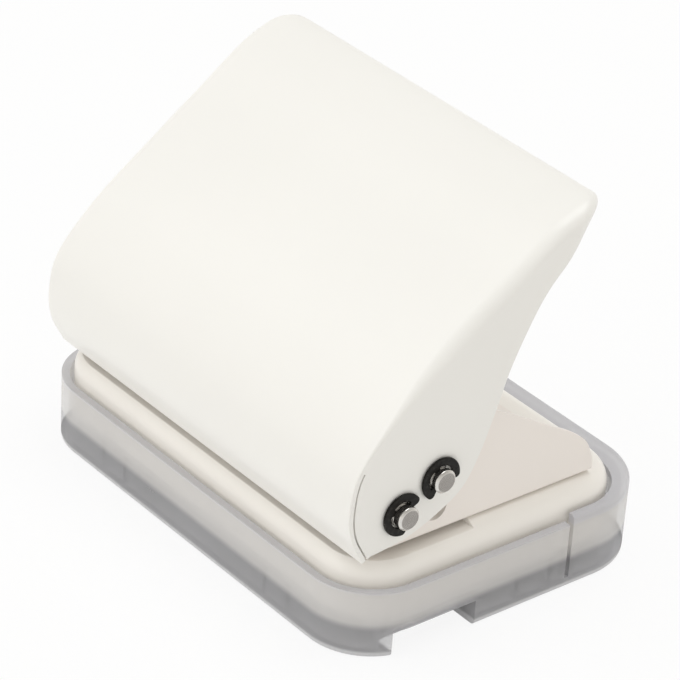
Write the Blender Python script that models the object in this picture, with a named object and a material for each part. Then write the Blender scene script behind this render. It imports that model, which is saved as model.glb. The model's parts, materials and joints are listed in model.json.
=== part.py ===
# Desk punch: a sprung sheet-metal lever with two shafts over a pressed base plate and a chip tray.
# X runs along the shafts, paper goes in at -Y, +Z is up. The origin is the middle of the tray's
# underside. Sizes are in metres and angles in degrees.

import math

import bmesh
import bpy
import numpy as np
from mathutils import Matrix, Vector

# Fits shared by several pieces
SEAT_GAP = 0.0003
SHAFT_CLEARANCE = 0.00015
OVERRUN = 0.0020

# Base plate: pressed sheet with a rounded shoulder and a skirt
BASE_WIDTH = 0.1242
BASE_DEPTH = 0.0832
BASE_SHEET = 0.0015
BASE_CORNER_RADIUS = 0.0140
BASE_SHOULDER_RADIUS = 0.0055
BASE_TOP_HEIGHT = 0.0255
BASE_SKIRT_HEIGHT = 0.0162
PAPER_THROAT_DEPTH = 0.0349
PAPER_SLOT_DROP = 0.0014

# Chip tray: frosted moulding that the base plate's skirt sits in
TRAY_WALL = 0.0020
TRAY_FLOOR = 0.0015
TRAY_RIM_DROP = 0.0073
TRAY_REAR_RISE = 0.0020
TRAY_CLEARANCE = 0.0012
TRAY_LEDGE_DEPTH = 0.0048
TRAY_LEDGE_THICKNESS = 0.0015
TRAY_REAR_CORNER_RADIUS = 0.0200
TRAY_FOOT_RADIUS = 0.0013
TRAY_RIM_RADIUS = 0.0012
TRAY_DRAFT_DEG = 0.4
TRAY_SLIT_WIDTH = 0.0012
TRAY_SLIT_SETBACK = 0.0300
TRAY_SLIT_FOOT = 0.0030
TRAY_RIB_THICKNESS = 0.0012
TRAY_RIB_REACH = 0.0036
TRAY_SIDE_RIB_SHARES = (0.037, 0.148, 0.216)
TRAY_FRONT_RIB_SHARES = (0.218, 0.287)
TRAY_REAR_RIB_SHARES = (0.09, 0.287)
SNAP_HEIGHT = 0.0030
SNAP_PROTRUSION = 0.0002
FINGER_POCKET_LENGTH = 0.0244
FINGER_POCKET_SETBACK = 0.0120
FINGER_POCKET_HEADROOM = 0.0007
FINGER_POCKET_REACH = 0.0080
FINGER_GRIP_LENGTH = 0.0068
FINGER_GRIP_DROP_SHARE = 0.394
FINGER_GRIP_INSET = 0.0034

# Frame: one folded channel, its side plates carry the shafts
FRAME_SIDE_MARGIN = 0.0035
FRAME_SHEET = 0.0012
FRAME_HEIGHT = 0.0303
FRAME_BEND_RADIUS = 0.0014
FRAME_REAR_SETBACK = 0.0103
FRAME_NOSE_RADIUS = 0.0100
FRAME_NOSE_FOOT = 0.0073
FRAME_NOSE_TOP_DEG = 118.0
FRAME_NOSE_FOOT_DEG = 226.0
# Shares of the run from the pivot to the rear end, and of the frame's height
FRAME_EDGE_SHARES = ((1.000, 0.000), (1.000, 0.053), (0.990, 0.158), (0.956, 0.304), (0.883, 0.429), (0.767, 0.566),
                     (0.470, 0.915), (0.393, 0.978), (0.310, 1.000), (0.228, 0.960))

# Punch mechanism
HOLE_SPACING = 0.0800
HOLE_EDGE_DISTANCE = 0.0120
SHAFT_RADIUS = 0.0030
SHAFT_CHAMFER = 0.0005
PIVOT_HEIGHT = 0.01075
LEVER_RADIUS = 0.0123
LEVER_REST_DEG = 29.3
LEVER_SWING_DEG = 32.0
SLOT_OVERRUN_DEG = 14.0
SLOT_CLEARANCE = 0.0003
PIVOT_SHAFT_END = 0.0024
PRESSER_SHAFT_END = 0.0018
PIN_RADIUS = 0.00285
PIN_HEAD_RADIUS = 0.0055
PIN_HEAD_THICKNESS = 0.0012
PIN_RETREAT = 0.0003
PIN_HOLLOW_DEPTH = 0.0010
BUSH_WALL = 0.0011
BUSH_RISE = 0.0025
BUSH_NECK = 0.0003
DIE_WALL = 0.0018
DIE_FLANGE_REACH = 0.0015
DIE_FLANGE_THICKNESS = 0.0015
SPRING_WIRE_RADIUS = 0.00035
SPRING_PLAY = 0.0004
SPRING_TURNS = 3
SPRING_POINTS_A_TURN = 10
RIVET_RADIUS = 0.0015
RIVET_HEAD_RADIUS = 0.0027
RIVET_HEAD_HEIGHT = 0.0011
RIVET_CLEARANCE = 0.0001
# Shares of half the frame's width and of the run from the paper stop to the frame's rear end
RIVET_SIDE_SHARE = 0.82
RIVET_RUN_SHARES = (0.16, 0.70)

# Retaining clips on the shaft ends
CLIP_RADIUS = 0.0055
CLIP_THICKNESS = 0.0006
CLIP_GROOVE_DEPTH = 0.0005
CLIP_PLAY = 0.0001
CLIP_RELIEF = 0.0007
CLIP_GAP_DEG = 100.0
CLIP_PRONG_DEG = 30.0
PIVOT_CLIP_DEG = -26.0
PRESSER_CLIP_DEG = -64.0

# Handle: one drawn shell, measured from the pivot
HANDLE_SHEET = 0.0012
HANDLE_DEPTH = 0.0735
HANDLE_HEIGHT = 0.0755
HANDLE_EDGE_RADIUS = 0.0038
HANDLE_LIP_RADIUS = 0.0004
HANDLE_TIP_PLAN_RADIUS = 0.0090
HANDLE_SLIT_WIDTH = 0.00045
# Shares of the handle's depth and height: the sheet's outer face, and the ear's edge that faces it
HANDLE_FACE_SHARES = ((-0.145, -0.132), (-0.197, -0.030), (-0.208, 0.076), (-0.176, 0.202), (-0.049, 0.349),
                      (0.073, 0.460), (0.231, 0.579), (0.389, 0.686), (0.552, 0.798), (0.672, 0.850),
                      (0.743, 0.860), (0.780, 0.839), (0.782, 0.806))
EAR_EDGE_SHARES = ((-0.113, -0.116), (-0.059, -0.111), (0.025, -0.099), (0.134, -0.059), (0.242, 0.006),
                   (0.304, 0.103), (0.372, 0.261), (0.427, 0.398), (0.525, 0.583), (0.632, 0.691),
                   (0.684, 0.744), (0.711, 0.774), (0.729, 0.790))
HANDLE_SLIT_END = 3
HANDLE_EDGE_FULL = 6

# Fineness of round forms
CORNER_SEGMENTS = 8
ROUND_SEGMENTS = 4
TURNED_SEGMENTS = 28
SPAN_STEPS = 3
SHARP_DEG = 32.0

# Places worked out from the sizes
BASE_BOTTOM_Z = BASE_TOP_HEIGHT - BASE_SKIRT_HEIGHT
TRAY_WIDTH = BASE_WIDTH + 2 * (TRAY_CLEARANCE + TRAY_WALL)
TRAY_DEPTH = BASE_DEPTH + 2 * (TRAY_CLEARANCE + TRAY_WALL) + TRAY_LEDGE_DEPTH
TRAY_FRONT_Y = -TRAY_DEPTH / 2
TRAY_FRONT_HEIGHT = BASE_TOP_HEIGHT - TRAY_RIM_DROP
TRAY_REAR_Y = TRAY_DEPTH / 2
TRAY_REAR_HEIGHT = TRAY_FRONT_HEIGHT + TRAY_REAR_RISE
TRAY_CORNER_RADIUS = BASE_CORNER_RADIUS + TRAY_CLEARANCE + TRAY_WALL
TRAY_SLIT_Y = TRAY_REAR_Y - TRAY_SLIT_SETBACK
FINGER_POCKET_HEIGHT = BASE_BOTTOM_Z - FINGER_POCKET_HEADROOM - TRAY_FLOOR
FINGER_GRIP_DROP = FINGER_POCKET_HEIGHT * FINGER_GRIP_DROP_SHARE
BASE_FRONT_Y = TRAY_FRONT_Y + TRAY_WALL + TRAY_CLEARANCE
BASE_REAR_Y = BASE_FRONT_Y + BASE_DEPTH
PAPER_STOP_Y = BASE_FRONT_Y + PAPER_THROAT_DEPTH
PAPER_FACE_Z = BASE_TOP_HEIGHT - PAPER_SLOT_DROP
PIN_Y = PAPER_STOP_Y - HOLE_EDGE_DISTANCE
LEVER_REST = math.radians(LEVER_REST_DEG)
LEVER_SWING = math.radians(LEVER_SWING_DEG)
PIVOT_Y = PIN_Y - LEVER_RADIUS * math.cos(LEVER_REST)
PIVOT_Z = BASE_TOP_HEIGHT + PIVOT_HEIGHT
PRESSER_Z = PIVOT_Z + LEVER_RADIUS * math.sin(LEVER_REST)
PIN_STROKE = LEVER_RADIUS * (math.sin(LEVER_REST) - math.sin(LEVER_REST - LEVER_SWING))
FRAME_WIDTH = BASE_WIDTH - 2 * FRAME_SIDE_MARGIN
WEB_BOTTOM_Z = BASE_TOP_HEIGHT + SEAT_GAP
WEB_TOP_Z = WEB_BOTTOM_Z + FRAME_SHEET
FRAME_TOP_Z = WEB_BOTTOM_Z + FRAME_HEIGHT
FRAME_REAR_Y = BASE_REAR_Y - FRAME_REAR_SETBACK
PIN_TOP_Z = PRESSER_Z - SHAFT_RADIUS - SEAT_GAP
PIN_SEAT_Z = PIN_TOP_Z - PIN_HEAD_THICKNESS
PIN_TIP_Z = WEB_BOTTOM_Z + PIN_RETREAT
PIN_BORE_RADIUS = PIN_RADIUS + SHAFT_CLEARANCE
SHAFT_BORE_RADIUS = SHAFT_RADIUS + SHAFT_CLEARANCE
BUSH_RADIUS = PIN_BORE_RADIUS + BUSH_WALL
DIE_RADIUS = PIN_BORE_RADIUS + DIE_WALL
SPRING_RADIUS = BUSH_RADIUS + SPRING_PLAY + SPRING_WIRE_RADIUS
HANDLE_HALF_WIDTH = FRAME_WIDTH / 2 + SEAT_GAP + HANDLE_SHEET
CLIP_X = HANDLE_HALF_WIDTH + SEAT_GAP
GROOVE_RADIUS = SHAFT_RADIUS - CLIP_GROOVE_DEPTH
SIDES = {"left": -1, "right": 1}


def polar(centre, radius, degrees):
    # A point of a plane at a radius and an angle from a centre
    angle = math.radians(degrees)
    return (centre[0] + radius * math.cos(angle), centre[1] + radius * math.sin(angle))


def arc(centre, radius, start, end, segments):
    # Evenly spread points of an arc, both ends counted
    return [polar(centre, radius, start + (end - start) * step / segments) for step in range(segments + 1)]


def smooth_path(points, steps):
    # A Catmull-Rom curve through the points, with the end points mirrored for the end slopes
    points = np.array(points)
    padded = np.vstack([2 * points[0] - points[1], points, 2 * points[-1] - points[-2]])
    path = []
    for index in range(len(points) - 1):
        before, start, end, after = padded[index:index + 4]
        for share in np.arange(steps) / steps:
            bend = (2 * before - 5 * start + 4 * end - after) * share ** 2
            twist = (3 * start - before - 3 * end + after) * share ** 3
            path.append(start + ((end - before) * share + bend + twist) / 2)
    path.append(points[-1])
    return np.array(path)


def material(name, colour, roughness, metallic):
    made = bpy.data.materials.new(name)
    made.use_nodes = True
    made.diffuse_color = (*colour, 1.0)
    surface = made.node_tree.nodes["Principled BSDF"]
    surface.inputs["Base Color"].default_value = (*colour, 1.0)
    surface.inputs["Roughness"].default_value = roughness
    surface.inputs["Metallic"].default_value = metallic
    return made


def add_object(name, mesh, centre=(0, 0, 0)):
    # Closes a bmesh into an object whose origin is at the centre, with its faces pointing out
    bmesh.ops.recalc_face_normals(mesh, faces=mesh.faces)
    bmesh.ops.translate(mesh, verts=mesh.verts, vec=-Vector(centre))
    data = bpy.data.meshes.new(name)
    mesh.to_mesh(data)
    mesh.free()
    made = bpy.data.objects.new(name, data)
    made.location = centre
    bpy.context.scene.collection.objects.link(made)
    return made


def finish(made, surface, parent=None):
    # Smooth shading with sharp creases, the piece's material and its parent
    made.data.shade_smooth()
    made.data.set_sharp_from_angle(angle=math.radians(SHARP_DEG))
    made.data.materials.append(surface)
    if parent:
        made.parent = parent
        made.matrix_parent_inverse = Matrix.Translation(parent.location).inverted()
    return made


def combine(target, tool, operation):
    # The tool stays in the scene as a hidden guide for the target's Boolean
    step = target.modifiers.new(tool.name, "BOOLEAN")
    step.operation = operation
    step.solver = "EXACT"
    step.object = tool
    tool.hide_render = True
    tool.display_type = "WIRE"


def skin(mesh, rings, closed):
    # Quads between neighbouring rings of vertices; a closed ring joins its last point to its first
    for lower, upper in zip(rings, rings[1:]):
        count = len(lower)
        for index in range(count if closed else count - 1):
            following = (index + 1) % count
            mesh.faces.new((lower[index], lower[following], upper[following], upper[index]))


def loft(name, loops, centre=(0, 0, 0)):
    # One closed solid through a stack of loops
    mesh = bmesh.new()
    rings = [[mesh.verts.new(point) for point in loop] for loop in loops]
    skin(mesh, rings, True)
    mesh.faces.new(reversed(rings[0]))
    mesh.faces.new(rings[-1])
    return add_object(name, mesh, centre)


def prism(name, outline, axis, start, end, centre=(0, 0, 0)):
    # An outline carried along X, Y or Z; its two values are the other two axes in order
    place = "XYZ".index(axis)
    loops = []
    for along in (start, end):
        loops.append([(*point[:place], along, *point[place:]) for point in outline])
    return loft(name, loops, centre)


def box(name, low, high):
    outline = ((low[0], low[1]), (high[0], low[1]), (high[0], high[1]), (low[0], high[1]))
    return prism(name, outline, "Z", low[2], high[2])


def rounded_loop(half_width, front, rear, radius, rear_radius, z):
    # A rectangle at one height, with one corner radius in front and one at the rear
    points = []
    for side, end, start in ((1, front, -90), (1, rear, 0), (-1, rear, 90), (-1, front, 180)):
        round_off, inward = (radius, 1) if end == front else (rear_radius, -1)
        centre = (side * (half_width - round_off), end + inward * round_off)
        points += arc(centre, round_off, start, start + 90, CORNER_SEGMENTS)
    return [(*point, z) for point in points]


def turned(name, profile, bored, centre=(0, 0, 0), along_x=False):
    # A profile of radius and height pairs turned about the axis; a bored profile closes on itself
    mesh = bmesh.new()
    rings = []
    for radius, height in profile:
        count = TURNED_SEGMENTS if radius else 1
        ring = []
        for index in range(count):
            across, up = polar((0, 0), radius, 360 * index / count)
            local = (height, across, up) if along_x else (across, up, height)
            ring.append(mesh.verts.new(Vector(local) + Vector(centre)))
        rings.append(ring)
    if bored:
        rings.append(rings[0])
    for lower, upper in zip(rings, rings[1:]):
        for index in range(TURNED_SEGMENTS):
            following = (index + 1) % TURNED_SEGMENTS
            corners = [lower[index % len(lower)], lower[following % len(lower)],
                       upper[following % len(upper)], upper[index % len(upper)]]
            mesh.faces.new(dict.fromkeys(corners))
    return add_object(name, mesh, centre)


def rod_cutter(name, radius, x, y, low, high):
    # An upright round cutter
    return turned(name, ((0, low), (radius, low), (radius, high), (0, high)), False, (x, y, 0))


def cross_cutter(name, radius, y, z):
    # A round cutter along X, longer than any shaft
    half = HANDLE_HALF_WIDTH + OVERRUN
    return turned(name, ((0, -half), (radius, -half), (radius, half), (0, half)), False, (0, y, z), True)


def base_loop(inset, z):
    radius = BASE_CORNER_RADIUS - inset
    return rounded_loop(BASE_WIDTH / 2 - inset, BASE_FRONT_Y + inset, BASE_REAR_Y - inset, radius, radius, z)


def shoulder_loops(inset, bottom, top, radius):
    # Loops from a straight skirt over a round shoulder to a flat top
    loops = [base_loop(inset, bottom)]
    for across, up in arc((0, 0), radius, 0, 90, ROUND_SEGMENTS):
        loops.append(base_loop(inset + radius - across, top - radius + up))
    return loops


def make_base_plate(surface):
    plate = loft("base_plate", shoulder_loops(0, BASE_BOTTOM_Z, BASE_TOP_HEIGHT, BASE_SHOULDER_RADIUS))
    inner_radius = BASE_SHOULDER_RADIUS - BASE_SHEET
    inner_top = BASE_TOP_HEIGHT - BASE_SHEET
    hollow = loft("base_hollow", shoulder_loops(BASE_SHEET, BASE_BOTTOM_Z - OVERRUN, inner_top, inner_radius))
    half = BASE_WIDTH / 2 + OVERRUN
    front = BASE_FRONT_Y - OVERRUN
    step_floor = box("step_floor", (-half, front, PAPER_FACE_Z - BASE_SHEET),
                     (half, PAPER_STOP_Y + BASE_SHEET, BASE_TOP_HEIGHT))
    combine(hollow, step_floor, "DIFFERENCE")
    combine(plate, hollow, "DIFFERENCE")
    paper_step = box("paper_step", (-half, front, PAPER_FACE_Z),
                     (half, PAPER_STOP_Y, BASE_TOP_HEIGHT + OVERRUN))
    combine(plate, paper_step, "DIFFERENCE")
    for side, sign in SIDES.items():
        hole = rod_cutter("die_hole_" + side, DIE_RADIUS + SHAFT_CLEARANCE, sign * HOLE_SPACING / 2, PIN_Y,
                          BASE_BOTTOM_Z, BASE_TOP_HEIGHT + OVERRUN)
        combine(plate, hole, "DIFFERENCE")
    for number, (x, y) in enumerate(rivet_places(), 1):
        hole = rod_cutter("base_rivet_hole_%d" % number, RIVET_RADIUS + RIVET_CLEARANCE, x, y,
                          BASE_BOTTOM_Z, BASE_TOP_HEIGHT + OVERRUN)
        combine(plate, hole, "DIFFERENCE")
    return finish(plate, surface)


def tray_loop(inset, z):
    radius, rear_radius = TRAY_CORNER_RADIUS - inset, TRAY_REAR_CORNER_RADIUS - inset
    return rounded_loop(TRAY_WIDTH / 2 - inset, TRAY_FRONT_Y + inset, TRAY_REAR_Y - inset, radius, rear_radius, z)


def tray_body():
    # Drafted walls on a rounded foot, with a small round on the rim
    lean = math.tan(math.radians(TRAY_DRAFT_DEG))
    loops = []
    for across, up in arc((0, 0), TRAY_FOOT_RADIUS, -90, 0, ROUND_SEGMENTS):
        z = TRAY_FOOT_RADIUS + up
        loops.append(tray_loop(TRAY_FOOT_RADIUS - across + lean * (TRAY_REAR_HEIGHT - z), z))
    for across, up in arc((0, 0), TRAY_RIM_RADIUS, 0, 90, 2):
        loops.append(tray_loop(TRAY_RIM_RADIUS - across, TRAY_REAR_HEIGHT - TRAY_RIM_RADIUS + up))
    return loft("chip_tray", loops)


def tray_ribs():
    # Upright ribs whose tops carry the base plate's lower edge; each is a box from wall to rib end
    top = BASE_BOTTOM_Z - SEAT_GAP
    low = TRAY_FLOOR / 2
    thick = TRAY_RIB_THICKNESS / 2
    root = TRAY_WALL / 2
    side_outer = TRAY_WIDTH / 2 - root
    front_outer = TRAY_FRONT_Y + root
    rear_outer = TRAY_REAR_Y - root
    ribs = []
    for sign in SIDES.values():
        for share in TRAY_SIDE_RIB_SHARES:
            y = share * TRAY_DEPTH
            across = sorted((sign * side_outer, sign * (side_outer - TRAY_RIB_REACH)))
            ribs.append(((across[0], y - thick, low), (across[1], y + thick, top)))
        for share in TRAY_FRONT_RIB_SHARES:
            x = sign * share * TRAY_WIDTH
            ribs.append(((x - thick, front_outer, low), (x + thick, front_outer + TRAY_RIB_REACH, top)))
        for share in TRAY_REAR_RIB_SHARES:
            x = sign * share * TRAY_WIDTH
            reach = TRAY_RIB_REACH + TRAY_LEDGE_DEPTH
            ribs.append(((x - thick, rear_outer - reach, low), (x + thick, rear_outer, top)))
    return ribs


def tray_snaps():
    # Shallow snaps between each pair of front ribs, at the height of the base plate's skirt
    inner = TRAY_FRONT_Y + TRAY_WALL
    low_share, high_share = TRAY_FRONT_RIB_SHARES
    snaps = []
    for sign in SIDES.values():
        across = sorted((sign * low_share * TRAY_WIDTH, sign * high_share * TRAY_WIDTH))
        low = (across[0], inner - TRAY_WALL / 2, BASE_BOTTOM_Z)
        snaps.append((low, (across[1], inner + SNAP_PROTRUSION, BASE_BOTTOM_Z + SNAP_HEIGHT)))
    return snaps


def finger_pocket(tray, hollow, side, sign):
    # A recess under the side wall to pull the tray off by, with a grip bar and walls towards the chips
    outer = TRAY_WIDTH / 2
    front = TRAY_FRONT_Y + FINGER_POCKET_SETBACK
    rear = front + FINGER_POCKET_LENGTH
    reach = outer - FINGER_POCKET_REACH
    wall = TRAY_FLOOR
    across = sorted((sign * (outer + OVERRUN), sign * (reach - wall)))
    cover = box("pocket_cover_" + side, (across[0], front - wall, -OVERRUN),
                (across[1], rear + wall, FINGER_POCKET_HEIGHT + wall))
    combine(hollow, cover, "DIFFERENCE")
    across = sorted((sign * (outer + OVERRUN), sign * reach))
    pocket = box("pocket_" + side, (across[0], front, -OVERRUN), (across[1], rear, FINGER_POCKET_HEIGHT))
    grip_rear = rear - FINGER_GRIP_DROP
    across = sorted((sign * (outer - FINGER_GRIP_INSET), sign * (outer - FINGER_GRIP_INSET - TRAY_RIB_THICKNESS)))
    grip = box("pocket_grip_" + side,
               (across[0], grip_rear - FINGER_GRIP_LENGTH, FINGER_POCKET_HEIGHT - FINGER_GRIP_DROP),
               (across[1], grip_rear, FINGER_POCKET_HEIGHT + OVERRUN))
    combine(pocket, grip, "DIFFERENCE")
    combine(tray, pocket, "DIFFERENCE")


def make_chip_tray(surface):
    tray = tray_body()
    half = TRAY_WIDTH / 2 + OVERRUN
    ledge_bottom = TRAY_REAR_HEIGHT - TRAY_LEDGE_THICKNESS
    hollow = loft("tray_hollow", [tray_loop(TRAY_WALL, TRAY_FLOOR), tray_loop(TRAY_WALL, ledge_bottom)])
    mouth = loft("tray_mouth", [base_loop(-TRAY_CLEARANCE, BASE_BOTTOM_Z),
                                base_loop(-TRAY_CLEARANCE, TRAY_REAR_HEIGHT + OVERRUN)])
    for number, (low, high) in enumerate(tray_ribs(), 1):
        combine(hollow, box("tray_rib_%d" % number, low, high), "DIFFERENCE")
    for number, (low, high) in enumerate(tray_snaps(), 1):
        combine(hollow, box("tray_snap_%d" % number, low, high), "DIFFERENCE")
        combine(mouth, box("mouth_snap_%d" % number, low, high), "DIFFERENCE")
    rim_cut = box("rim_cut", (-half, TRAY_FRONT_Y - OVERRUN, TRAY_FRONT_HEIGHT),
                  (half, TRAY_SLIT_Y, TRAY_REAR_HEIGHT + OVERRUN))
    for side, sign in SIDES.items():
        finger_pocket(tray, hollow, side, sign)
    combine(tray, hollow, "DIFFERENCE")
    combine(tray, mouth, "DIFFERENCE")
    combine(tray, rim_cut, "DIFFERENCE")
    for side, sign in SIDES.items():
        inner = TRAY_WIDTH / 2 - TRAY_WALL - TRAY_CLEARANCE / 2
        across = sorted((sign * (TRAY_WIDTH / 2 + OVERRUN), sign * inner))
        slit = box("tray_slit_" + side, (across[0], TRAY_SLIT_Y, TRAY_SLIT_FOOT),
                   (across[1], TRAY_SLIT_Y + TRAY_SLIT_WIDTH, TRAY_REAR_HEIGHT + OVERRUN))
        combine(tray, slit, "DIFFERENCE")
    return finish(tray, surface)


def frame_side_outline():
    # The side plate from its rear foot over the peak to the round nose about the pivot
    run = FRAME_REAR_Y - PIVOT_Y
    outline = [(PIVOT_Y + share_y * run, WEB_BOTTOM_Z + share_z * FRAME_HEIGHT)
               for share_y, share_z in FRAME_EDGE_SHARES]
    outline += arc((PIVOT_Y, PIVOT_Z), FRAME_NOSE_RADIUS, FRAME_NOSE_TOP_DEG, FRAME_NOSE_FOOT_DEG, CORNER_SEGMENTS)
    outline.append((PIVOT_Y - FRAME_NOSE_FOOT, WEB_BOTTOM_Z))
    return outline


def channel_outline():
    # A U section with round outer and inner bends
    half = FRAME_WIDTH / 2
    bend = FRAME_BEND_RADIUS
    top = FRAME_TOP_Z + OVERRUN
    centre = (half - bend, WEB_BOTTOM_Z + bend)
    right = [(half, top)] + arc(centre, bend, 0, -90, ROUND_SEGMENTS)
    inner = arc(centre, bend - FRAME_SHEET, -90, 0, ROUND_SEGMENTS) + [(half - FRAME_SHEET, top)]
    left = [(-x, z) for x, z in reversed(right)]
    inner_left = [(-x, z) for x, z in reversed(inner)]
    return right + left + inner_left + inner


def arc_slot_outline(centre, radius, half_width, start, end):
    # A slot that follows an arc about a centre, with round ends
    outline = arc(centre, radius + half_width, start, end, CORNER_SEGMENTS)
    outline += arc(polar(centre, radius, end), half_width, end, end + 180, CORNER_SEGMENTS)[1:]
    outline += arc(centre, radius - half_width, end, start, CORNER_SEGMENTS)[1:]
    outline += arc(polar(centre, radius, start), half_width, start + 180, start + 360, CORNER_SEGMENTS)[1:-1]
    return outline


def rivet_places():
    places = []
    for sign in SIDES.values():
        for share in RIVET_RUN_SHARES:
            y = PAPER_STOP_Y + share * (FRAME_REAR_Y - PAPER_STOP_Y)
            places.append((sign * RIVET_SIDE_SHARE * FRAME_WIDTH / 2, y))
    return places


def make_frame(surface):
    frame = prism("frame", channel_outline(), "Y", PIVOT_Y - FRAME_NOSE_RADIUS - OVERRUN, FRAME_REAR_Y + OVERRUN)
    half = FRAME_WIDTH / 2 + OVERRUN
    combine(frame, prism("frame_side_guide", frame_side_outline(), "X", -half, half), "INTERSECT")
    combine(frame, cross_cutter("frame_pivot_hole", SHAFT_BORE_RADIUS, PIVOT_Y, PIVOT_Z), "DIFFERENCE")
    slot = arc_slot_outline((PIVOT_Y, PIVOT_Z), LEVER_RADIUS, SHAFT_RADIUS + SLOT_CLEARANCE,
                            LEVER_REST_DEG - LEVER_SWING_DEG - SLOT_OVERRUN_DEG, LEVER_REST_DEG)
    combine(frame, prism("frame_slot", slot, "X", -half, half), "DIFFERENCE")
    for side, sign in SIDES.items():
        hole = rod_cutter("bush_hole_" + side, BUSH_RADIUS - BUSH_NECK + SHAFT_CLEARANCE,
                          sign * HOLE_SPACING / 2, PIN_Y, WEB_BOTTOM_Z - OVERRUN, WEB_TOP_Z + OVERRUN)
        combine(frame, hole, "DIFFERENCE")
    for number, (x, y) in enumerate(rivet_places(), 1):
        hole = rod_cutter("frame_rivet_hole_%d" % number, RIVET_RADIUS + RIVET_CLEARANCE, x, y,
                          WEB_BOTTOM_Z - OVERRUN, WEB_TOP_Z + OVERRUN)
        combine(frame, hole, "DIFFERENCE")
    return finish(frame, surface)


def handle_paths():
    # The sheet's outer face, its inner face and the ear's edge, row by row from the lip to the tip
    pivot = np.array((PIVOT_Y, PIVOT_Z))
    size = np.array((HANDLE_DEPTH, HANDLE_HEIGHT))
    outer = smooth_path(pivot + np.array(HANDLE_FACE_SHARES) * size, SPAN_STEPS)
    edge = smooth_path(pivot + np.array(EAR_EDGE_SHARES) * size, SPAN_STEPS)
    slope = np.gradient(outer, axis=0)
    slope /= np.linalg.norm(slope, axis=1)[:, None]
    outward = np.column_stack((-slope[:, 1], slope[:, 0]))
    return outer, outward, edge


def edge_radii(count):
    # The long edges are square along the slits and round over towards the tip
    rows = np.arange(count) / SPAN_STEPS
    share = np.clip((rows - HANDLE_SLIT_END) / (HANDLE_EDGE_FULL - HANDLE_SLIT_END), 0, 1)
    share = share * share * (3 - 2 * share)
    return HANDLE_LIP_RADIUS + (HANDLE_EDGE_RADIUS - HANDLE_LIP_RADIUS) * share


def tip_insets(outer):
    # How far the sides draw in at each row, so that the tip's corners are round in plan
    steps = np.linalg.norm(np.diff(outer, axis=0), axis=1)
    to_tip = np.append(np.cumsum(steps[::-1])[::-1], 0)
    short = np.clip(HANDLE_TIP_PLAN_RADIUS - to_tip, 0, None)
    return HANDLE_TIP_PLAN_RADIUS - np.sqrt(HANDLE_TIP_PLAN_RADIUS ** 2 - short ** 2)


def shell_row(face, ear, half_width, radius):
    # One row across the shell: up the left ear, over the round edges and down the right ear
    to_ear = ear - face
    length = np.linalg.norm(to_ear)
    to_ear = to_ear / length
    radius = min(radius, length / 2)
    right = []
    for across, up in arc((0, 0), radius, 90, 0, ROUND_SEGMENTS):
        y, z = face + to_ear * (radius - up)
        right.append((half_width - radius + across, y, z))
    right.append((half_width, *ear))
    return [(-x, y, z) for x, y, z in reversed(right)] + right


def make_handle(surface, lever):
    outer, outward, edge = handle_paths()
    radii = edge_radii(len(outer))
    insets = tip_insets(outer)
    mesh = bmesh.new()
    layers = []
    for depth in (0, HANDLE_SHEET):
        rows = []
        for face, out, ear, radius, inset in zip(outer, outward, edge, radii, insets):
            inner_radius = max(radius - depth, HANDLE_LIP_RADIUS)
            row = shell_row(face - out * depth, ear, HANDLE_HALF_WIDTH - inset - depth, inner_radius)
            rows.append([mesh.verts.new(point) for point in row])
        skin(mesh, rows, False)
        layers.append(rows)
    outside, inside = layers
    rims = [(outside[0], inside[0]), (outside[-1], inside[-1])]
    for column in (0, -1):
        rims.append(([row[column] for row in outside], [row[column] for row in inside]))
    for rim in rims:
        skin(mesh, rim, False)
    handle = add_object("handle", mesh, (0, PIVOT_Y, PIVOT_Z))
    cut_slits(handle, outer, outward)
    combine(handle, cross_cutter("ear_pivot_hole", SHAFT_BORE_RADIUS, PIVOT_Y, PIVOT_Z), "DIFFERENCE")
    combine(handle, cross_cutter("ear_presser_hole", SHAFT_BORE_RADIUS, PIN_Y, PRESSER_Z), "DIFFERENCE")
    return finish(handle, surface, lever)


def cut_slits(handle, outer, outward):
    # The relief slits that part the front sheet from the two ears, from the lip upwards
    rows = HANDLE_SLIT_END * SPAN_STEPS + 1
    start = outer[0] - (outer[1] - outer[0])
    path = np.vstack([start, outer[:rows]])
    out = np.vstack([outward[0], outward[:rows]])
    near = path - out * HANDLE_SHEET
    far = path - out * (HANDLE_SHEET + HANDLE_SLIT_WIDTH)
    outline = [tuple(point) for point in near] + [tuple(point) for point in far[::-1]]
    for side, sign in SIDES.items():
        ends = sorted((sign * (HANDLE_HALF_WIDTH - HANDLE_SHEET - SEAT_GAP), sign * (HANDLE_HALF_WIDTH + OVERRUN)))
        combine(handle, prism("ear_slit_" + side, outline, "X", *ends), "DIFFERENCE")


def make_shaft(name, y, z, end_reach, surface, parent=None):
    # A round shaft with bright chamfered ends and a groove for each clip
    end = CLIP_X + CLIP_THICKNESS + end_reach
    groove = (CLIP_X - CLIP_PLAY, CLIP_X + CLIP_THICKNESS + CLIP_PLAY)
    half = [(SHAFT_RADIUS, groove[0]), (GROOVE_RADIUS, groove[0]), (GROOVE_RADIUS, groove[1]),
            (SHAFT_RADIUS, groove[1]), (SHAFT_RADIUS, end - SHAFT_CHAMFER), (SHAFT_RADIUS - SHAFT_CHAMFER, end),
            (0, end)]
    profile = [(radius, -along) for radius, along in reversed(half)] + half
    return finish(turned(name, profile, False, (0, y, z), True), surface, parent)


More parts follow.
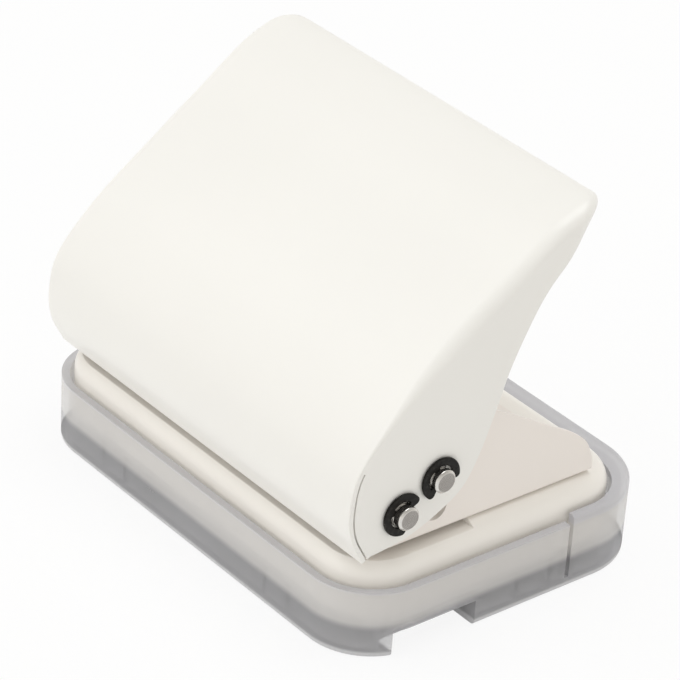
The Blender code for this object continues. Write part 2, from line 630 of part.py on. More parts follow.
def clip_outline(centre, opening):
    # An E clip: an outer arc, then three prongs in the groove with reliefs between them
    start = opening + CLIP_GAP_DEG / 2
    end = opening + 360 - CLIP_GAP_DEG / 2
    outline = arc(centre, CLIP_RADIUS, start, end, 3 * CORNER_SEGMENTS)
    prong = GROOVE_RADIUS + CLIP_PLAY
    relief = SHAFT_RADIUS + CLIP_RELIEF
    middle = opening + 180
    outline += arc(centre, prong, end, end - CLIP_PRONG_DEG, ROUND_SEGMENTS)
    outline += arc(centre, relief, end - CLIP_PRONG_DEG, middle + CLIP_PRONG_DEG / 2, ROUND_SEGMENTS)
    outline += arc(centre, prong, middle + CLIP_PRONG_DEG / 2, middle - CLIP_PRONG_DEG / 2, ROUND_SEGMENTS)
    outline += arc(centre, relief, middle - CLIP_PRONG_DEG / 2, start + CLIP_PRONG_DEG, ROUND_SEGMENTS)
    outline += arc(centre, prong, start + CLIP_PRONG_DEG, start, ROUND_SEGMENTS)
    return outline


def make_clips(kind, y, z, opening, surface, parent=None):
    for side, sign in SIDES.items():
        ends = sorted((sign * CLIP_X, sign * (CLIP_X + CLIP_THICKNESS)))
        clip = prism("%s_clip_%s" % (kind, side), clip_outline((y, z), opening), "X", *ends, (sign * CLIP_X, y, z))
        finish(clip, surface, parent)


def make_punch_pin(side, sign, surface):
    # A flanged pin with a hollow-ground tip
    profile = ((0, PIN_TIP_Z), (PIN_RADIUS, PIN_TIP_Z), (PIN_RADIUS, PIN_SEAT_Z), (PIN_HEAD_RADIUS, PIN_SEAT_Z),
               (PIN_HEAD_RADIUS, PIN_TOP_Z), (0, PIN_TOP_Z))
    x = sign * HOLE_SPACING / 2
    pin = turned("punch_pin_" + side, profile, False, (x, PIN_Y, 0))
    wedge = ((PIN_Y - PIN_RADIUS, PIN_TIP_Z - PIN_HOLLOW_DEPTH / 2), (PIN_Y, PIN_TIP_Z + PIN_HOLLOW_DEPTH),
             (PIN_Y + PIN_RADIUS, PIN_TIP_Z - PIN_HOLLOW_DEPTH / 2))
    combine(pin, prism("pin_hollow_" + side, wedge, "X", x - PIN_HEAD_RADIUS, x + PIN_HEAD_RADIUS), "DIFFERENCE")
    return finish(pin, surface)


def make_guide_bush(side, sign, surface):
    # A turned guide whose neck drops into the frame's web
    neck = BUSH_RADIUS - BUSH_NECK
    shoulder = WEB_TOP_Z + SEAT_GAP
    top = WEB_TOP_Z + BUSH_RISE
    profile = ((PIN_BORE_RADIUS, WEB_BOTTOM_Z), (neck, WEB_BOTTOM_Z), (neck, shoulder), (BUSH_RADIUS, shoulder),
               (BUSH_RADIUS, top), (PIN_BORE_RADIUS, top))
    return finish(turned("guide_bush_" + side, profile, True, (sign * HOLE_SPACING / 2, PIN_Y, 0)), surface)


def make_die_bush(side, sign, surface):
    # The lower cutting ring, flush with the paper face and flanged under the sheet
    flange_top = PAPER_FACE_Z - BASE_SHEET - SEAT_GAP
    flange_bottom = flange_top - DIE_FLANGE_THICKNESS
    flange = DIE_RADIUS + DIE_FLANGE_REACH
    profile = ((PIN_BORE_RADIUS, flange_bottom), (flange, flange_bottom), (flange, flange_top),
               (DIE_RADIUS, flange_top), (DIE_RADIUS, PAPER_FACE_Z), (PIN_BORE_RADIUS, PAPER_FACE_Z))
    return finish(turned("die_bush_" + side, profile, True, (sign * HOLE_SPACING / 2, PIN_Y, 0)), surface)


def spring_points():
    # A helix whose wire runs straight for one diameter at each end
    low = WEB_TOP_Z + SEAT_GAP + SPRING_WIRE_RADIUS
    high = PIN_SEAT_Z - SEAT_GAP - SPRING_WIRE_RADIUS
    count = SPRING_TURNS * SPRING_POINTS_A_TURN
    share = np.arange(count + 1) / count
    angle = 2 * np.pi * SPRING_TURNS * share
    turns = np.column_stack((SPRING_RADIUS * np.cos(angle), SPRING_RADIUS * np.sin(angle), low + (high - low) * share))
    straight = 2 * SPRING_WIRE_RADIUS
    first = turns[0] - np.array((0, straight, 0))
    last = turns[-1] + np.array((0, straight, 0))
    return np.vstack([first, turns, last])


def print_spring_gap(points):
    # Least gap between points more than half a turn apart, less one wire
    least = math.inf
    for index in range(len(points)):
        others = points[index + SPRING_POINTS_A_TURN // 2:]
        if len(others):
            least = min(least, np.linalg.norm(others - points[index], axis=1).min())
    print("spring: least gap to itself %.2f mm" % ((least - 2 * SPRING_WIRE_RADIUS) * 1000))


def make_spring(side, sign, surface):
    points = spring_points()
    print_spring_gap(points)
    curve = bpy.data.curves.new("pin_spring_" + side, "CURVE")
    curve.dimensions = "3D"
    curve.bevel_depth = SPRING_WIRE_RADIUS
    curve.bevel_resolution = 1
    curve.use_fill_caps = True
    spline = curve.splines.new("POLY")
    spline.points.add(len(points) - 1)
    for target, point in zip(spline.points, points):
        target.co = (*point, 1.0)
    curve.materials.append(surface)
    spring = bpy.data.objects.new("pin_spring_" + side, curve)
    spring.location = (sign * HOLE_SPACING / 2, PIN_Y, 0)
    bpy.context.scene.collection.objects.link(spring)
    return spring


def make_rivet(number, x, y, surface):
    # A solid rivet with a domed head above the web and one under the base plate
    low_seat = BASE_TOP_HEIGHT - BASE_SHEET - SEAT_GAP
    high_seat = WEB_TOP_Z + SEAT_GAP
    dome = ((0.55, 1.0), (0.86, 0.62), (1.0, 0.0))
    high = [(RIVET_HEAD_RADIUS * wide, high_seat + RIVET_HEAD_HEIGHT * tall) for wide, tall in dome]
    low = [(RIVET_HEAD_RADIUS * wide, low_seat - RIVET_HEAD_HEIGHT * tall) for wide, tall in reversed(dome)]
    profile = [(0, high[0][1])] + high + [(RIVET_RADIUS, high_seat), (RIVET_RADIUS, low_seat)] + low
    profile.append((0, low[-1][1]))
    return finish(turned("frame_rivet_%d" % number, profile, False, (x, y, 0)), surface)


def build():
    for made in list(bpy.data.objects):
        bpy.data.objects.remove(made, do_unlink=True)
    enamel = material("handle_enamel", (0.90, 0.89, 0.85), 0.38, 0.0)
    frame_enamel = material("frame_enamel", (0.86, 0.83, 0.79), 0.42, 0.0)
    base_enamel = material("base_enamel", (0.89, 0.87, 0.82), 0.36, 0.0)
    frosted = material("frosted_tray", (0.72, 0.73, 0.76), 0.50, 0.0)
    bright = material("bright_steel", (0.62, 0.60, 0.57), 0.28, 1.0)
    blackened = material("black_clip", (0.03, 0.03, 0.03), 0.45, 0.4)
    hardened = material("hardened_steel", (0.50, 0.49, 0.47), 0.30, 1.0)
    spring_steel = material("spring_steel", (0.55, 0.55, 0.55), 0.32, 1.0)
    zinc = material("zinc_rivet", (0.60, 0.60, 0.58), 0.40, 1.0)

    lever = bpy.data.objects.new("lever_axis", None)
    lever.location = (0, PIVOT_Y, PIVOT_Z)
    bpy.context.scene.collection.objects.link(lever)

    make_chip_tray(frosted)
    make_base_plate(base_enamel)
    make_frame(frame_enamel)
    make_handle(enamel, lever)
    make_shaft("pivot_shaft", PIVOT_Y, PIVOT_Z, PIVOT_SHAFT_END, bright)
    make_shaft("presser_shaft", PIN_Y, PRESSER_Z, PRESSER_SHAFT_END, bright, lever)
    make_clips("pivot", PIVOT_Y, PIVOT_Z, PIVOT_CLIP_DEG, blackened)
    make_clips("presser", PIN_Y, PRESSER_Z, PRESSER_CLIP_DEG, blackened, lever)
    for side, sign in SIDES.items():
        make_punch_pin(side, sign, hardened)
        make_guide_bush(side, sign, hardened)
        make_die_bush(side, sign, hardened)
        make_spring(side, sign, spring_steel)
    for number, (x, y) in enumerate(rivet_places(), 1):
        make_rivet(number, x, y, zinc)
    print("pin stroke %.2f mm, %.4f mm per radian" % (PIN_STROKE * 1000, PIN_STROKE * 1000 / LEVER_SWING))


build()
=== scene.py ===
import math
import bmesh
import bpy
import numpy as np
from mathutils import Matrix, Vector
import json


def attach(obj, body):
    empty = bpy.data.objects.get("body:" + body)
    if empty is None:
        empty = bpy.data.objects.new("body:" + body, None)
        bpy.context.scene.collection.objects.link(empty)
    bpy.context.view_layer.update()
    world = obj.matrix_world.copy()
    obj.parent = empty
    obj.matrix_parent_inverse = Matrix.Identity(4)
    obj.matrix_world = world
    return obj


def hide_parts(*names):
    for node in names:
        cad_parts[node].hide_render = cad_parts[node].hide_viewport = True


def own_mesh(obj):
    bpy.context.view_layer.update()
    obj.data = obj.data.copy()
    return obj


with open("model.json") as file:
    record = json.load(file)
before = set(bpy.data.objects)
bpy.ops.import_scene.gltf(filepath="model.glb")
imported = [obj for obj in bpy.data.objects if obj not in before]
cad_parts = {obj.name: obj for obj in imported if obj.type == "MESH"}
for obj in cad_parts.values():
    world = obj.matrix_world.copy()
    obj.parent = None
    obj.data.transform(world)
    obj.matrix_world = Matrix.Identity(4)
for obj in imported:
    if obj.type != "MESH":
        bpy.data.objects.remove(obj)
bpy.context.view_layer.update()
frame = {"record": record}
mm = 0.001


class Wire:
    # A node socket that takes part in Python sums: each operator adds its Math node
    def __init__(self, nodes, socket):
        self.nodes = nodes
        self.socket = socket

    def math(self, operation, first, second):
        return self.nodes.node("ShaderNodeMath", {"operation": operation}, {0: first, 1: second})

    def __add__(self, other):
        return self.math("ADD", self, other)

    def __radd__(self, other):
        return self.math("ADD", other, self)

    def __sub__(self, other):
        return self.math("SUBTRACT", self, other)

    def __rsub__(self, other):
        return self.math("SUBTRACT", other, self)

    def __mul__(self, other):
        return self.math("MULTIPLY", self, other)

    def __rmul__(self, other):
        return self.math("MULTIPLY", other, self)

    def __pow__(self, other):
        return self.math("POWER", self, other)


class Nodes:
    # The nodes of one material or world
    def __init__(self, tree):
        self.tree = tree

    def node(self, kind, settings=None, sockets=None, output=0):
        # A node of a kind: its settings first, then the values or links of its sockets
        made = self.tree.nodes.new(kind)
        for key, value in (settings or {}).items():
            setattr(made, key, value)
        for key, value in (sockets or {}).items():
            self.feed(made.inputs[key], value)
        return Wire(self, made.outputs[output])

    def feed(self, target, value):
        # A link from a wire, or else a constant on the socket itself
        if isinstance(value, Wire):
            self.tree.links.new(value.socket, target)
        else:
            target.default_value = value

    def ray(self, kind):
        # One for a ray of the kind and nought for any other
        return self.node("ShaderNodeLightPath", output="Is %s Ray" % kind)

    def show(self, share, first, second, end):
        # Two shaders mixed by a share and led to the output node named
        mixed = self.node("ShaderNodeMixShader", {}, {0: share, 1: first, 2: second})
        self.feed(self.tree.nodes[end].inputs["Surface"], mixed)


class Recipe(Nodes):
    # One material: a Principled surface, with constants on its own sockets, and the nodes that feed it
    def __init__(self, name, **constants):
        self.material = bpy.data.materials.new(name)
        self.material.use_nodes = True
        super().__init__(self.material.node_tree)
        self.surface = self.tree.nodes["Principled BSDF"]
        self.paint(**constants)

    def paint(self, **values):
        # Values or wires for the surface's sockets, by name, with _ for a space
        for key, value in values.items():
            self.feed(self.surface.inputs[key.replace("_", " ")], value)
        return self.material

    def place(self):
        return self.node("ShaderNodeTexCoord", output="Object")

    def noise(self, scale, detail=2.0, stretch=(1, 1, 1)):
        # Fractal noise over the object's own coordinates, scale waves to the metre, drawn out along an axis
        # where its share of stretch is under one
        spot = self.node("ShaderNodeMapping", {}, {"Vector": self.place(), "Scale": stretch})
        return self.node("ShaderNodeTexNoise", {}, {"Vector": spot, "Scale": scale, "Detail": detail})

    def spread(self, noise, middle, width):
        # Noise from 0 to 1 as a value that varies over a width about a middle
        return noise * width + (middle - width / 2)

    def blend(self, share, first, second):
        # A colour between two colours by a share
        return self.node("ShaderNodeMix", {"data_type": "RGBA"}, {0: share, 6: first, 7: second}, 2)

    def step(self, value, start, end):
        # Nought at the start and one at the end, smooth between
        return self.node("ShaderNodeMapRange", {"interpolation_type": "SMOOTHSTEP"},
                         {"Value": value, "From Min": start, "From Max": end})

    def bump(self, height, depth):
        return self.node("ShaderNodeBump", {}, {"Height": height, "Distance": depth, "Strength": 1.0})


def rgb(red, green, blue):
    return (red, green, blue, 1.0)


def dimmed(colour, share):
    # A colour with each part times a share
    return rgb(*(part * share for part in colour[:3]))


enamel = {
    "handle": rgb(0.905, 0.893, 0.860), "base": rgb(0.915, 0.882, 0.832), "frame": rgb(0.902, 0.846, 0.798),
    "driftScale": 18.0, "driftTone": 0.965, "peelScale": 900.0, "peelDepth": 0.012 * mm,
    "roughness": 0.34, "glossRange": 0.10, "glossScale": 60.0,
    "coat": 0.15, "coatScale": 35.0, "coatRoughness": 0.12, "ior": 1.5,
}


def enamelPaint(name, colour):
    # Baked enamel: a faint drift of tone, a fine orange peel and slightly uneven gloss
    recipe = Recipe(name, IOR=enamel["ior"], Coat_Roughness=enamel["coatRoughness"])
    drift = recipe.noise(enamel["driftScale"], detail=3.0)
    peel = recipe.noise(enamel["peelScale"], detail=1.0)
    gloss = recipe.spread(recipe.noise(enamel["glossScale"]), enamel["roughness"], enamel["glossRange"])
    return recipe.paint(Base_Color=recipe.blend(drift, colour, dimmed(colour, enamel["driftTone"])),
                        Roughness=gloss, Coat_Weight=recipe.noise(enamel["coatScale"]) * enamel["coat"],
                        Normal=recipe.bump(peel, enamel["peelDepth"]))


# Foot and shaded tones: painted shade of the tray's inside; the tone beside the skirt: its painted glow
frosting = {
    "footTone": rgb(0.640, 0.640, 0.660), "shadedTone": rgb(0.462, 0.462, 0.480),
    "paintedGlowTone": rgb(0.830, 0.812, 0.795), "rimTone": rgb(0.640, 0.636, 0.668),
    "shadedAlpha": 0.42, "clearAlpha": 0.57, "rimAlpha": 0.72, "letThrough": 0.65,
    "floorTop": 1.2 * mm, "shadedTop": 7.4 * mm, "glowFade": 2.4 * mm, "rimFoot": 17.3 * mm, "fade": 0.9 * mm,
    "cloudScale": 40.0, "cloudAlpha": 0.12, "cloudDark": 0.90, "cloudShare": 0.25,
    "grainScale": 2600.0, "grainDepth": 0.02 * mm, "roughness": 0.42, "glossRange": 0.10, "glossScale": 120.0,
    "ior": 1.45,
}


def frostedPlasticPaintedLight(name):
    # Spark-eroded moulding in bands by height, each blended smoothly into the next: a milky floor, then a
    # painted shade of the tray's inside, darker up to the base plate's foot, then a painted glow of its skirt
    # beside it, and milky and greyer at the rim. Opacity = the band's, give or take the cloud, and less to a
    # shadow ray, because such a wall scatters light on rather than stopping it
    recipe = Recipe(name, IOR=frosting["ior"])
    cloud = recipe.noise(frosting["cloudScale"], detail=3.0)
    height = recipe.node("ShaderNodeSeparateXYZ", {}, {"Vector": recipe.place()}, "Z")
    floor = recipe.step(height, frosting["floorTop"] + frosting["fade"], frosting["floorTop"])
    # Painted shade: from the foot tone up to the shaded tone just under the base plate's foot
    shaded = recipe.step(height, 0.0, frosting["shadedTop"])
    # Beside the base plate's skirt: a painted glow of the skirt in the tone, with the band's own opacity
    clear = recipe.step(height, frosting["shadedTop"], frosting["shadedTop"] + frosting["glowFade"])
    rim = recipe.step(height, frosting["rimFoot"], frosting["rimFoot"] + frosting["fade"])
    band = frosting["shadedAlpha"] + clear * (frosting["clearAlpha"] - frosting["shadedAlpha"]) \
        + rim * (frosting["rimAlpha"] - frosting["clearAlpha"]) + floor * (1 - frosting["shadedAlpha"])
    opacity = (band + recipe.spread(cloud, 0.0, frosting["cloudAlpha"])) \
        * (1 - recipe.ray("Shadow") * frosting["letThrough"])
    tone = recipe.blend(shaded, frosting["footTone"], frosting["shadedTone"])
    # The painted glow of the skirt, over the painted shade below it
    tone = recipe.blend(clear, tone, frosting["paintedGlowTone"])
    tone = recipe.blend(rim, tone, frosting["rimTone"])
    cloudTone = dimmed(frosting["rimTone"], frosting["cloudDark"])
    gloss = recipe.spread(recipe.noise(frosting["glossScale"]), frosting["roughness"], frosting["glossRange"])
    return recipe.paint(Base_Color=recipe.blend(cloud * frosting["cloudShare"], tone, cloudTone),
                        Roughness=gloss, Alpha=opacity,
                        Normal=recipe.bump(recipe.noise(frosting["grainScale"]), frosting["grainDepth"]))


bareSteel = {
    "hardened": {"tone": rgb(0.52, 0.51, 0.49), "roughness": 0.28, "stretch": (1, 1, 0.06)},
    "spring": {"tone": rgb(0.58, 0.58, 0.58), "roughness": 0.30, "stretch": (1, 1, 1)},
    "rivet": {"tone": rgb(0.62, 0.62, 0.60), "roughness": 0.38, "stretch": (1, 1, 1)},
    "markScale": 700.0, "markTone": 0.82, "markDepth": 0.006 * mm, "glossRange": 0.16, "ior": 2.5,
}


def drawnSteel(name, kind):
    # Bare steel: fine marks along one direction set both its tone and its gloss
    steel = bareSteel[kind]
    recipe = Recipe(name, IOR=bareSteel["ior"], Metallic=1.0)
    marks = recipe.noise(bareSteel["markScale"], detail=3.0, stretch=steel["stretch"])
    marked = dimmed(steel["tone"], bareSteel["markTone"])
    return recipe.paint(Base_Color=recipe.blend(marks, steel["tone"], marked),
                        Roughness=recipe.spread(marks, steel["roughness"], bareSteel["glossRange"]),
                        Normal=recipe.bump(marks, bareSteel["markDepth"]))


shaftSteel = {
    "dark": rgb(0.23, 0.215, 0.20), "light": rgb(0.44, 0.42, 0.395), "polished": rgb(0.80, 0.78, 0.75),
    "faceRadius": 2.35 * mm, "faceFade": 0.2 * mm,
    "ringScale": 760.0, "ringWaver": 2.2, "ringDetail": 3.0, "ringDetailScale": 1.4,
    "ringShare": 0.35, "ringDepth": 0.004 * mm, "wornScale": 350.0, "wornShare": 0.5,
    "roughness": 0.16, "wornGloss": 0.2, "polishGloss": 0.06, "ior": 2.5,
}


def turnedSteel(name, centre):
    # Lathe-turned bar: faint rings about its own axis over finer uneven marks on the end faces, and bright
    # polish outside the face radius, where distance from the axis = length of (0, y, z) from the centre
    recipe = Recipe(name, IOR=shaftSteel["ior"], Metallic=1.0)
    spot = recipe.node("ShaderNodeMapping", {}, {"Vector": recipe.place(), "Scale": (0, 1, 1),
                                                 "Location": [-part for part in centre]})
    rings = recipe.node("ShaderNodeTexWave",
                        {"wave_type": "RINGS", "rings_direction": "X", "wave_profile": "SIN"},
                        {"Vector": spot, "Scale": shaftSteel["ringScale"],
                         "Distortion": shaftSteel["ringWaver"], "Detail": shaftSteel["ringDetail"],
                         "Detail Scale": shaftSteel["ringDetailScale"]}, "Fac")
    radius = recipe.node("ShaderNodeVectorMath", {"operation": "LENGTH"}, {0: spot}, "Value")
    polish = recipe.step(radius, shaftSteel["faceRadius"], shaftSteel["faceRadius"] + shaftSteel["faceFade"])
    worn = recipe.noise(shaftSteel["wornScale"], detail=4.0)
    marks = rings * shaftSteel["ringShare"] + worn * (1 - shaftSteel["ringShare"])
    face = recipe.blend(marks, shaftSteel["dark"], shaftSteel["light"])
    bar = recipe.blend(worn * shaftSteel["wornShare"], shaftSteel["polished"], shaftSteel["light"])
    gloss = worn * shaftSteel["wornGloss"] + shaftSteel["roughness"] - polish * shaftSteel["polishGloss"]
    return recipe.paint(Base_Color=recipe.blend(polish, face, bar), Roughness=gloss,
                        Normal=recipe.bump(rings, shaftSteel["ringDepth"]))


blackening = {
    "black": rgb(0.010, 0.009, 0.008), "rubbed": rgb(0.22, 0.21, 0.19), "rubScale": 900.0, "rubPower": 6.0,
    "roughness": 0.305, "glossRange": 0.25, "glossScale": 300.0,
    "grainScale": 1500.0, "grainDepth": 0.01 * mm, "specular": 0.12, "ior": 1.5,
}


def blackenedSteel(name):
    # Oil-blackened spring steel: near black, with brighter rubbed specks where a power of the noise is high
    recipe = Recipe(name, IOR=blackening["ior"], Specular_IOR_Level=blackening["specular"])
    rubbed = recipe.noise(blackening["rubScale"], detail=4.0) ** blackening["rubPower"]
    gloss = recipe.spread(recipe.noise(blackening["glossScale"]), blackening["roughness"],
                          blackening["glossRange"])
    return recipe.paint(Base_Color=recipe.blend(rubbed, blackening["black"], blackening["rubbed"]),
                        Roughness=gloss, Metallic=rubbed,
                        Normal=recipe.bump(recipe.noise(blackening["grainScale"]), blackening["grainDepth"]))


paints = {  # by the record's material slot; the shafts' bright steel is made for each shaft
    "handle_enamel": enamelPaint("handleEnamel", enamel["handle"]),
    "base_enamel": enamelPaint("baseEnamel", enamel["base"]),
    "frame_enamel": enamelPaint("frameEnamel", enamel["frame"]),
    "frosted_tray": frostedPlasticPaintedLight("frostedTrayPaintedLight"),
    "black_clip": blackenedSteel("blackClip"),
    "hardened_steel": drawnSteel("hardenedSteel", "hardened"),
    "spring_steel": drawnSteel("springSteel", "spring"),
    "zinc_rivet": drawnSteel("zincRivet", "rivet"),
}
print("stage: materials")

slots = {part["node"]: part["material_slot"] for part in frame["record"]["subparts"]}
bodyOf = {node: body for body, nodes in frame["record"]["behaviour"]["bodies"].items() for node in nodes}

meshing = {
    "weld": 0.0001 * mm, "flatWeld": 0.002 * mm, "flatAngle": 0.4, "crease": 34.0, "bevelSteps": 2,
    "sides": 72, "cornerSteps": 20,
}


def gridFaces(rows, columns, wrap):
    # Index quads between neighbouring rows of a grid; a wrapped grid joins its last column to its first
    across = np.arange(columns if wrap else columns - 1)
    row = np.arange(rows - 1)[:, None] * columns
    here, after = row + across, row + (across + 1) % columns
    return np.stack((here, after, after + columns, here + columns), axis=-1).reshape(-1, 4)


def meshOf(name, points, faces):
    # Points and faces as one mesh with doubled points merged and faces turned outwards
    data = bpy.data.meshes.new(name)
    data.from_pydata(points.reshape(-1, 3).tolist(), [], faces)
    work = bmesh.new()
    work.from_mesh(data)
    bmesh.ops.remove_doubles(work, verts=work.verts, dist=meshing["weld"])
    bmesh.ops.dissolve_degenerate(work, edges=work.edges, dist=meshing["weld"])
    bmesh.ops.recalc_face_normals(work, faces=work.faces)
    work.to_mesh(data)
    work.free()
    made = bpy.data.objects.new(name, data)
    bpy.context.scene.collection.objects.link(made)
    return made


def lofted(name, loops):
    # A closed solid through a stack of loops with as many points each, capped at both ends
    loops = np.asarray(loops, float)
    rows, columns = loops.shape[:2]
    faces = gridFaces(rows, columns, True).tolist()
    faces += [list(range(columns))[::-1], list(range((rows - 1) * columns, rows * columns))]
    return meshOf(name, loops, faces)


def carried(name, outline, axis, start, end):
    # An outline of two coordinates carried straight along the third axis
    outline = np.asarray(outline, float)
    loops = [np.insert(outline, "XYZ".index(axis), along, axis=1) for along in (start, end)]
    return lofted(name, loops)


def block(name, low, high):
    # A square-cornered body between its lowest and highest corners, mostly as a cutting tool
    corners = [(low[0], low[1]), (high[0], low[1]), (high[0], high[1]), (low[0], high[1])]
    return carried(name, corners, "Z", low[2], high[2])


def turned(name, profile, centre, axis, bored=False, sides=meshing["sides"]):
    # A profile of radius and height turned about an axis through the centre; a bored one closes on itself
    profile = np.asarray(profile, float)
    if bored:
        profile = np.vstack((profile, profile[:1]))
    angle = 2 * np.pi * np.arange(sides) / sides
    radius, height = profile[:, :1], np.repeat(profile[:, 1:], sides, axis=1)
    across, up = radius * np.cos(angle), radius * np.sin(angle)
    order = (height, across, up) if axis == "X" else (across, up, height)
    points = np.stack(order, axis=-1) + np.asarray(centre)
    return meshOf(name, points, gridFaces(len(profile), sides, True).tolist())


def arcPoints(centre, radius, start, end, steps):
    # Points of an arc by angle in degrees, both ends counted
    angle = np.radians(np.linspace(start, end, steps + 1))
    return np.column_stack((centre[0] + radius * np.cos(angle), centre[1] + radius * np.sin(angle)))


def pointAt(centre, radius, angle):
    # The point of a circle at an angle in degrees
    return arcPoints(centre, radius, angle, angle, 1)[0]


def smoothPath(points, steps):
    # A Catmull-Rom curve through the points: a cubic in each span, with mirrored end points
    points = np.asarray(points, float)
    padded = np.vstack((2 * points[0] - points[1], points, 2 * points[-1] - points[-2]))
    share = (np.arange(steps) / steps)[:, None]
    spans = []
    for before, start, end, after in zip(padded, padded[1:], padded[2:], padded[3:]):
        bend = (2 * before - 5 * start + 4 * end - after) * share ** 2
        twist = (3 * start - before - 3 * end + after) * share ** 3
        spans.append(start + ((end - before) * share + bend + twist) / 2)
    return np.vstack(spans + [points[-1:]])


def span(sign, far, near):
    # Two distances from the middle as a low and a high coordinate on one side
    return sorted((sign * far, sign * near))


def combine(target, tool, operation="DIFFERENCE"):
    # The tool cut from the target, or joined with it by another operation, once the target is baked
    step = target.modifiers.new(tool.name, "BOOLEAN")
    step.operation = operation
    step.object = tool
    tool.hide_render = True


def bake(piece):
    # The evaluated mesh takes the place of the modifiers, and their tools are deleted
    depsgraph = bpy.context.evaluated_depsgraph_get()
    tools = [step.object for step in piece.modifiers if step.type == "BOOLEAN"]
    piece.data = bpy.data.meshes.new_from_object(piece.evaluated_get(depsgraph))
    piece.modifiers.clear()
    for tool in tools:
        tools += [step.object for step in tool.modifiers if step.type == "BOOLEAN"]
    for tool in set(tools):
        bpy.data.objects.remove(tool, do_unlink=True)


def dress(piece, node, edge=0.0, crease=meshing["crease"], flatten=False, paint=None):
    # Bakes a piece, softens its sharp edges, and hands it to the CAD node's body, slot and paint
    bake(piece)
    if flatten:
        work = bmesh.new()
        work.from_mesh(piece.data)
        bmesh.ops.remove_doubles(work, verts=work.verts, dist=meshing["flatWeld"])
        bmesh.ops.dissolve_limit(work, angle_limit=math.radians(meshing["flatAngle"]), verts=work.verts,
                                 edges=work.edges)
        work.to_mesh(piece.data)
        work.free()
    piece.data.shade_smooth()
    piece.data.set_sharp_from_angle(angle=math.radians(crease))
    if edge:
        soften = piece.modifiers.new("softEdges", "BEVEL")
        soften.width = edge
        soften.segments = meshing["bevelSteps"]
        soften.limit_method = "ANGLE"
        soften.angle_limit = math.radians(crease)
        soften.use_clamp_overlap = True
    level = piece.modifiers.new("flatFaces", "WEIGHTED_NORMAL")
    level.keep_sharp = True
    piece.data.materials.clear()
    piece.data.materials.append(paint or paints[slots[node]])
    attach(piece, bodyOf[node])
    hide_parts(node)
    return piece


gap = 0.3 * mm  # between pieces that touch in reality
play = 0.15 * mm  # round a shaft, pin or bush in its hole
past = 2.0 * mm  # a cutting tool's reach beyond what it cuts
sides = {"left": -1, "right": 1}

base = {
    "width": 124.2 * mm, "depth": 83.2 * mm, "sheet": 1.5 * mm, "corner": 14.0 * mm, "shoulder": 5.5 * mm,
    "top": 25.5 * mm, "skirt": 16.2 * mm, "throat": 34.9 * mm, "drop": 1.4 * mm,
    "underRound": 0.25, "outerSteps": 14, "innerSteps": 8, "edge": 0.25 * mm,
}
tray = {
    "wall": 2.0 * mm, "floor": 1.5 * mm, "front": 18.2 * mm, "rise": 2.0 * mm, "clearance": 1.2 * mm,
    "ledge": 4.8 * mm, "ledgeThickness": 1.5 * mm, "rearCorner": 20.0 * mm, "foot": 1.3 * mm, "rim": 1.2 * mm,
    "draft": 0.4, "slitWidth": 1.2 * mm, "slitBack": 30.0 * mm, "slitFoot": 3.0 * mm,
    "rib": 1.2 * mm, "ribReach": 3.6 * mm,
    "sideRibs": (0.037, 0.148, 0.216), "frontRibs": (0.218, 0.287), "rearRibs": (0.09, 0.287),
    "snap": 3.0 * mm, "snapOut": 0.2 * mm, "pocketLength": 24.4 * mm, "pocketBack": 12.0 * mm,
    "pocketHeight": 7.1 * mm, "pocketReach": 8.0 * mm, "gripLength": 6.8 * mm, "gripDrop": 2.8 * mm,
    "gripInset": 3.4 * mm, "footSteps": 8, "rimSteps": 4, "edge": 0.40 * mm,
}
trayWidth = base["width"] + 2 * (tray["clearance"] + tray["wall"])
trayDepth = base["depth"] + 2 * (tray["clearance"] + tray["wall"]) + tray["ledge"]
trayTop = tray["front"] + tray["rise"]
slitY = trayDepth / 2 - tray["slitBack"]
baseFront = -trayDepth / 2 + tray["wall"] + tray["clearance"]
baseRear = baseFront + base["depth"]
baseBottom = base["top"] - base["skirt"]
paperStop = baseFront + base["throat"]
paperFace = base["top"] - base["drop"]


def roundedRing(halfWidth, front, rear, corner, rearCorner, height):
    # A rectangle at one height, counter-clockwise from above, with its own round for the rear corners
    centres = ((halfWidth - corner, front + corner), (halfWidth - rearCorner, rear - rearCorner),
               (rearCorner - halfWidth, rear - rearCorner), (corner - halfWidth, front + corner))
    rounds = zip(centres, (corner, rearCorner, rearCorner, corner), (-90, 0, 90, 180))
    ring = np.vstack([arcPoints(centre, radius, start, start + 90, meshing["cornerSteps"])
                      for centre, radius, start in rounds])
    return np.column_stack((ring, np.full(len(ring), height)))


def baseRing(inset, height):
    # The base plate's outline drawn in by an inset; a negative one lies outside it
    corner = base["corner"] - inset
    return roundedRing(base["width"] / 2 - inset, baseFront + inset, baseRear - inset, corner, corner, height)


def trayRing(inset, height):
    # The tray's outline drawn in by an inset
    corner = base["corner"] + tray["clearance"] + tray["wall"] - inset
    return roundedRing(trayWidth / 2 - inset, inset - trayDepth / 2, trayDepth / 2 - inset, corner,
                       tray["rearCorner"] - inset, height)


def upright(name, radius, x, y, low, high):
    # A round bar along Z
    return turned(name, ((0, low), (radius, low), (radius, high), (0, high)), (x, y, 0), "Z")


def crosswise(name, radius, y, z):
    # A round bar along X as long as the tray is wide
    half = trayWidth / 2
    return turned(name, ((0, -half), (radius, -half), (radius, half), (0, half)), (0, y, z), "X")


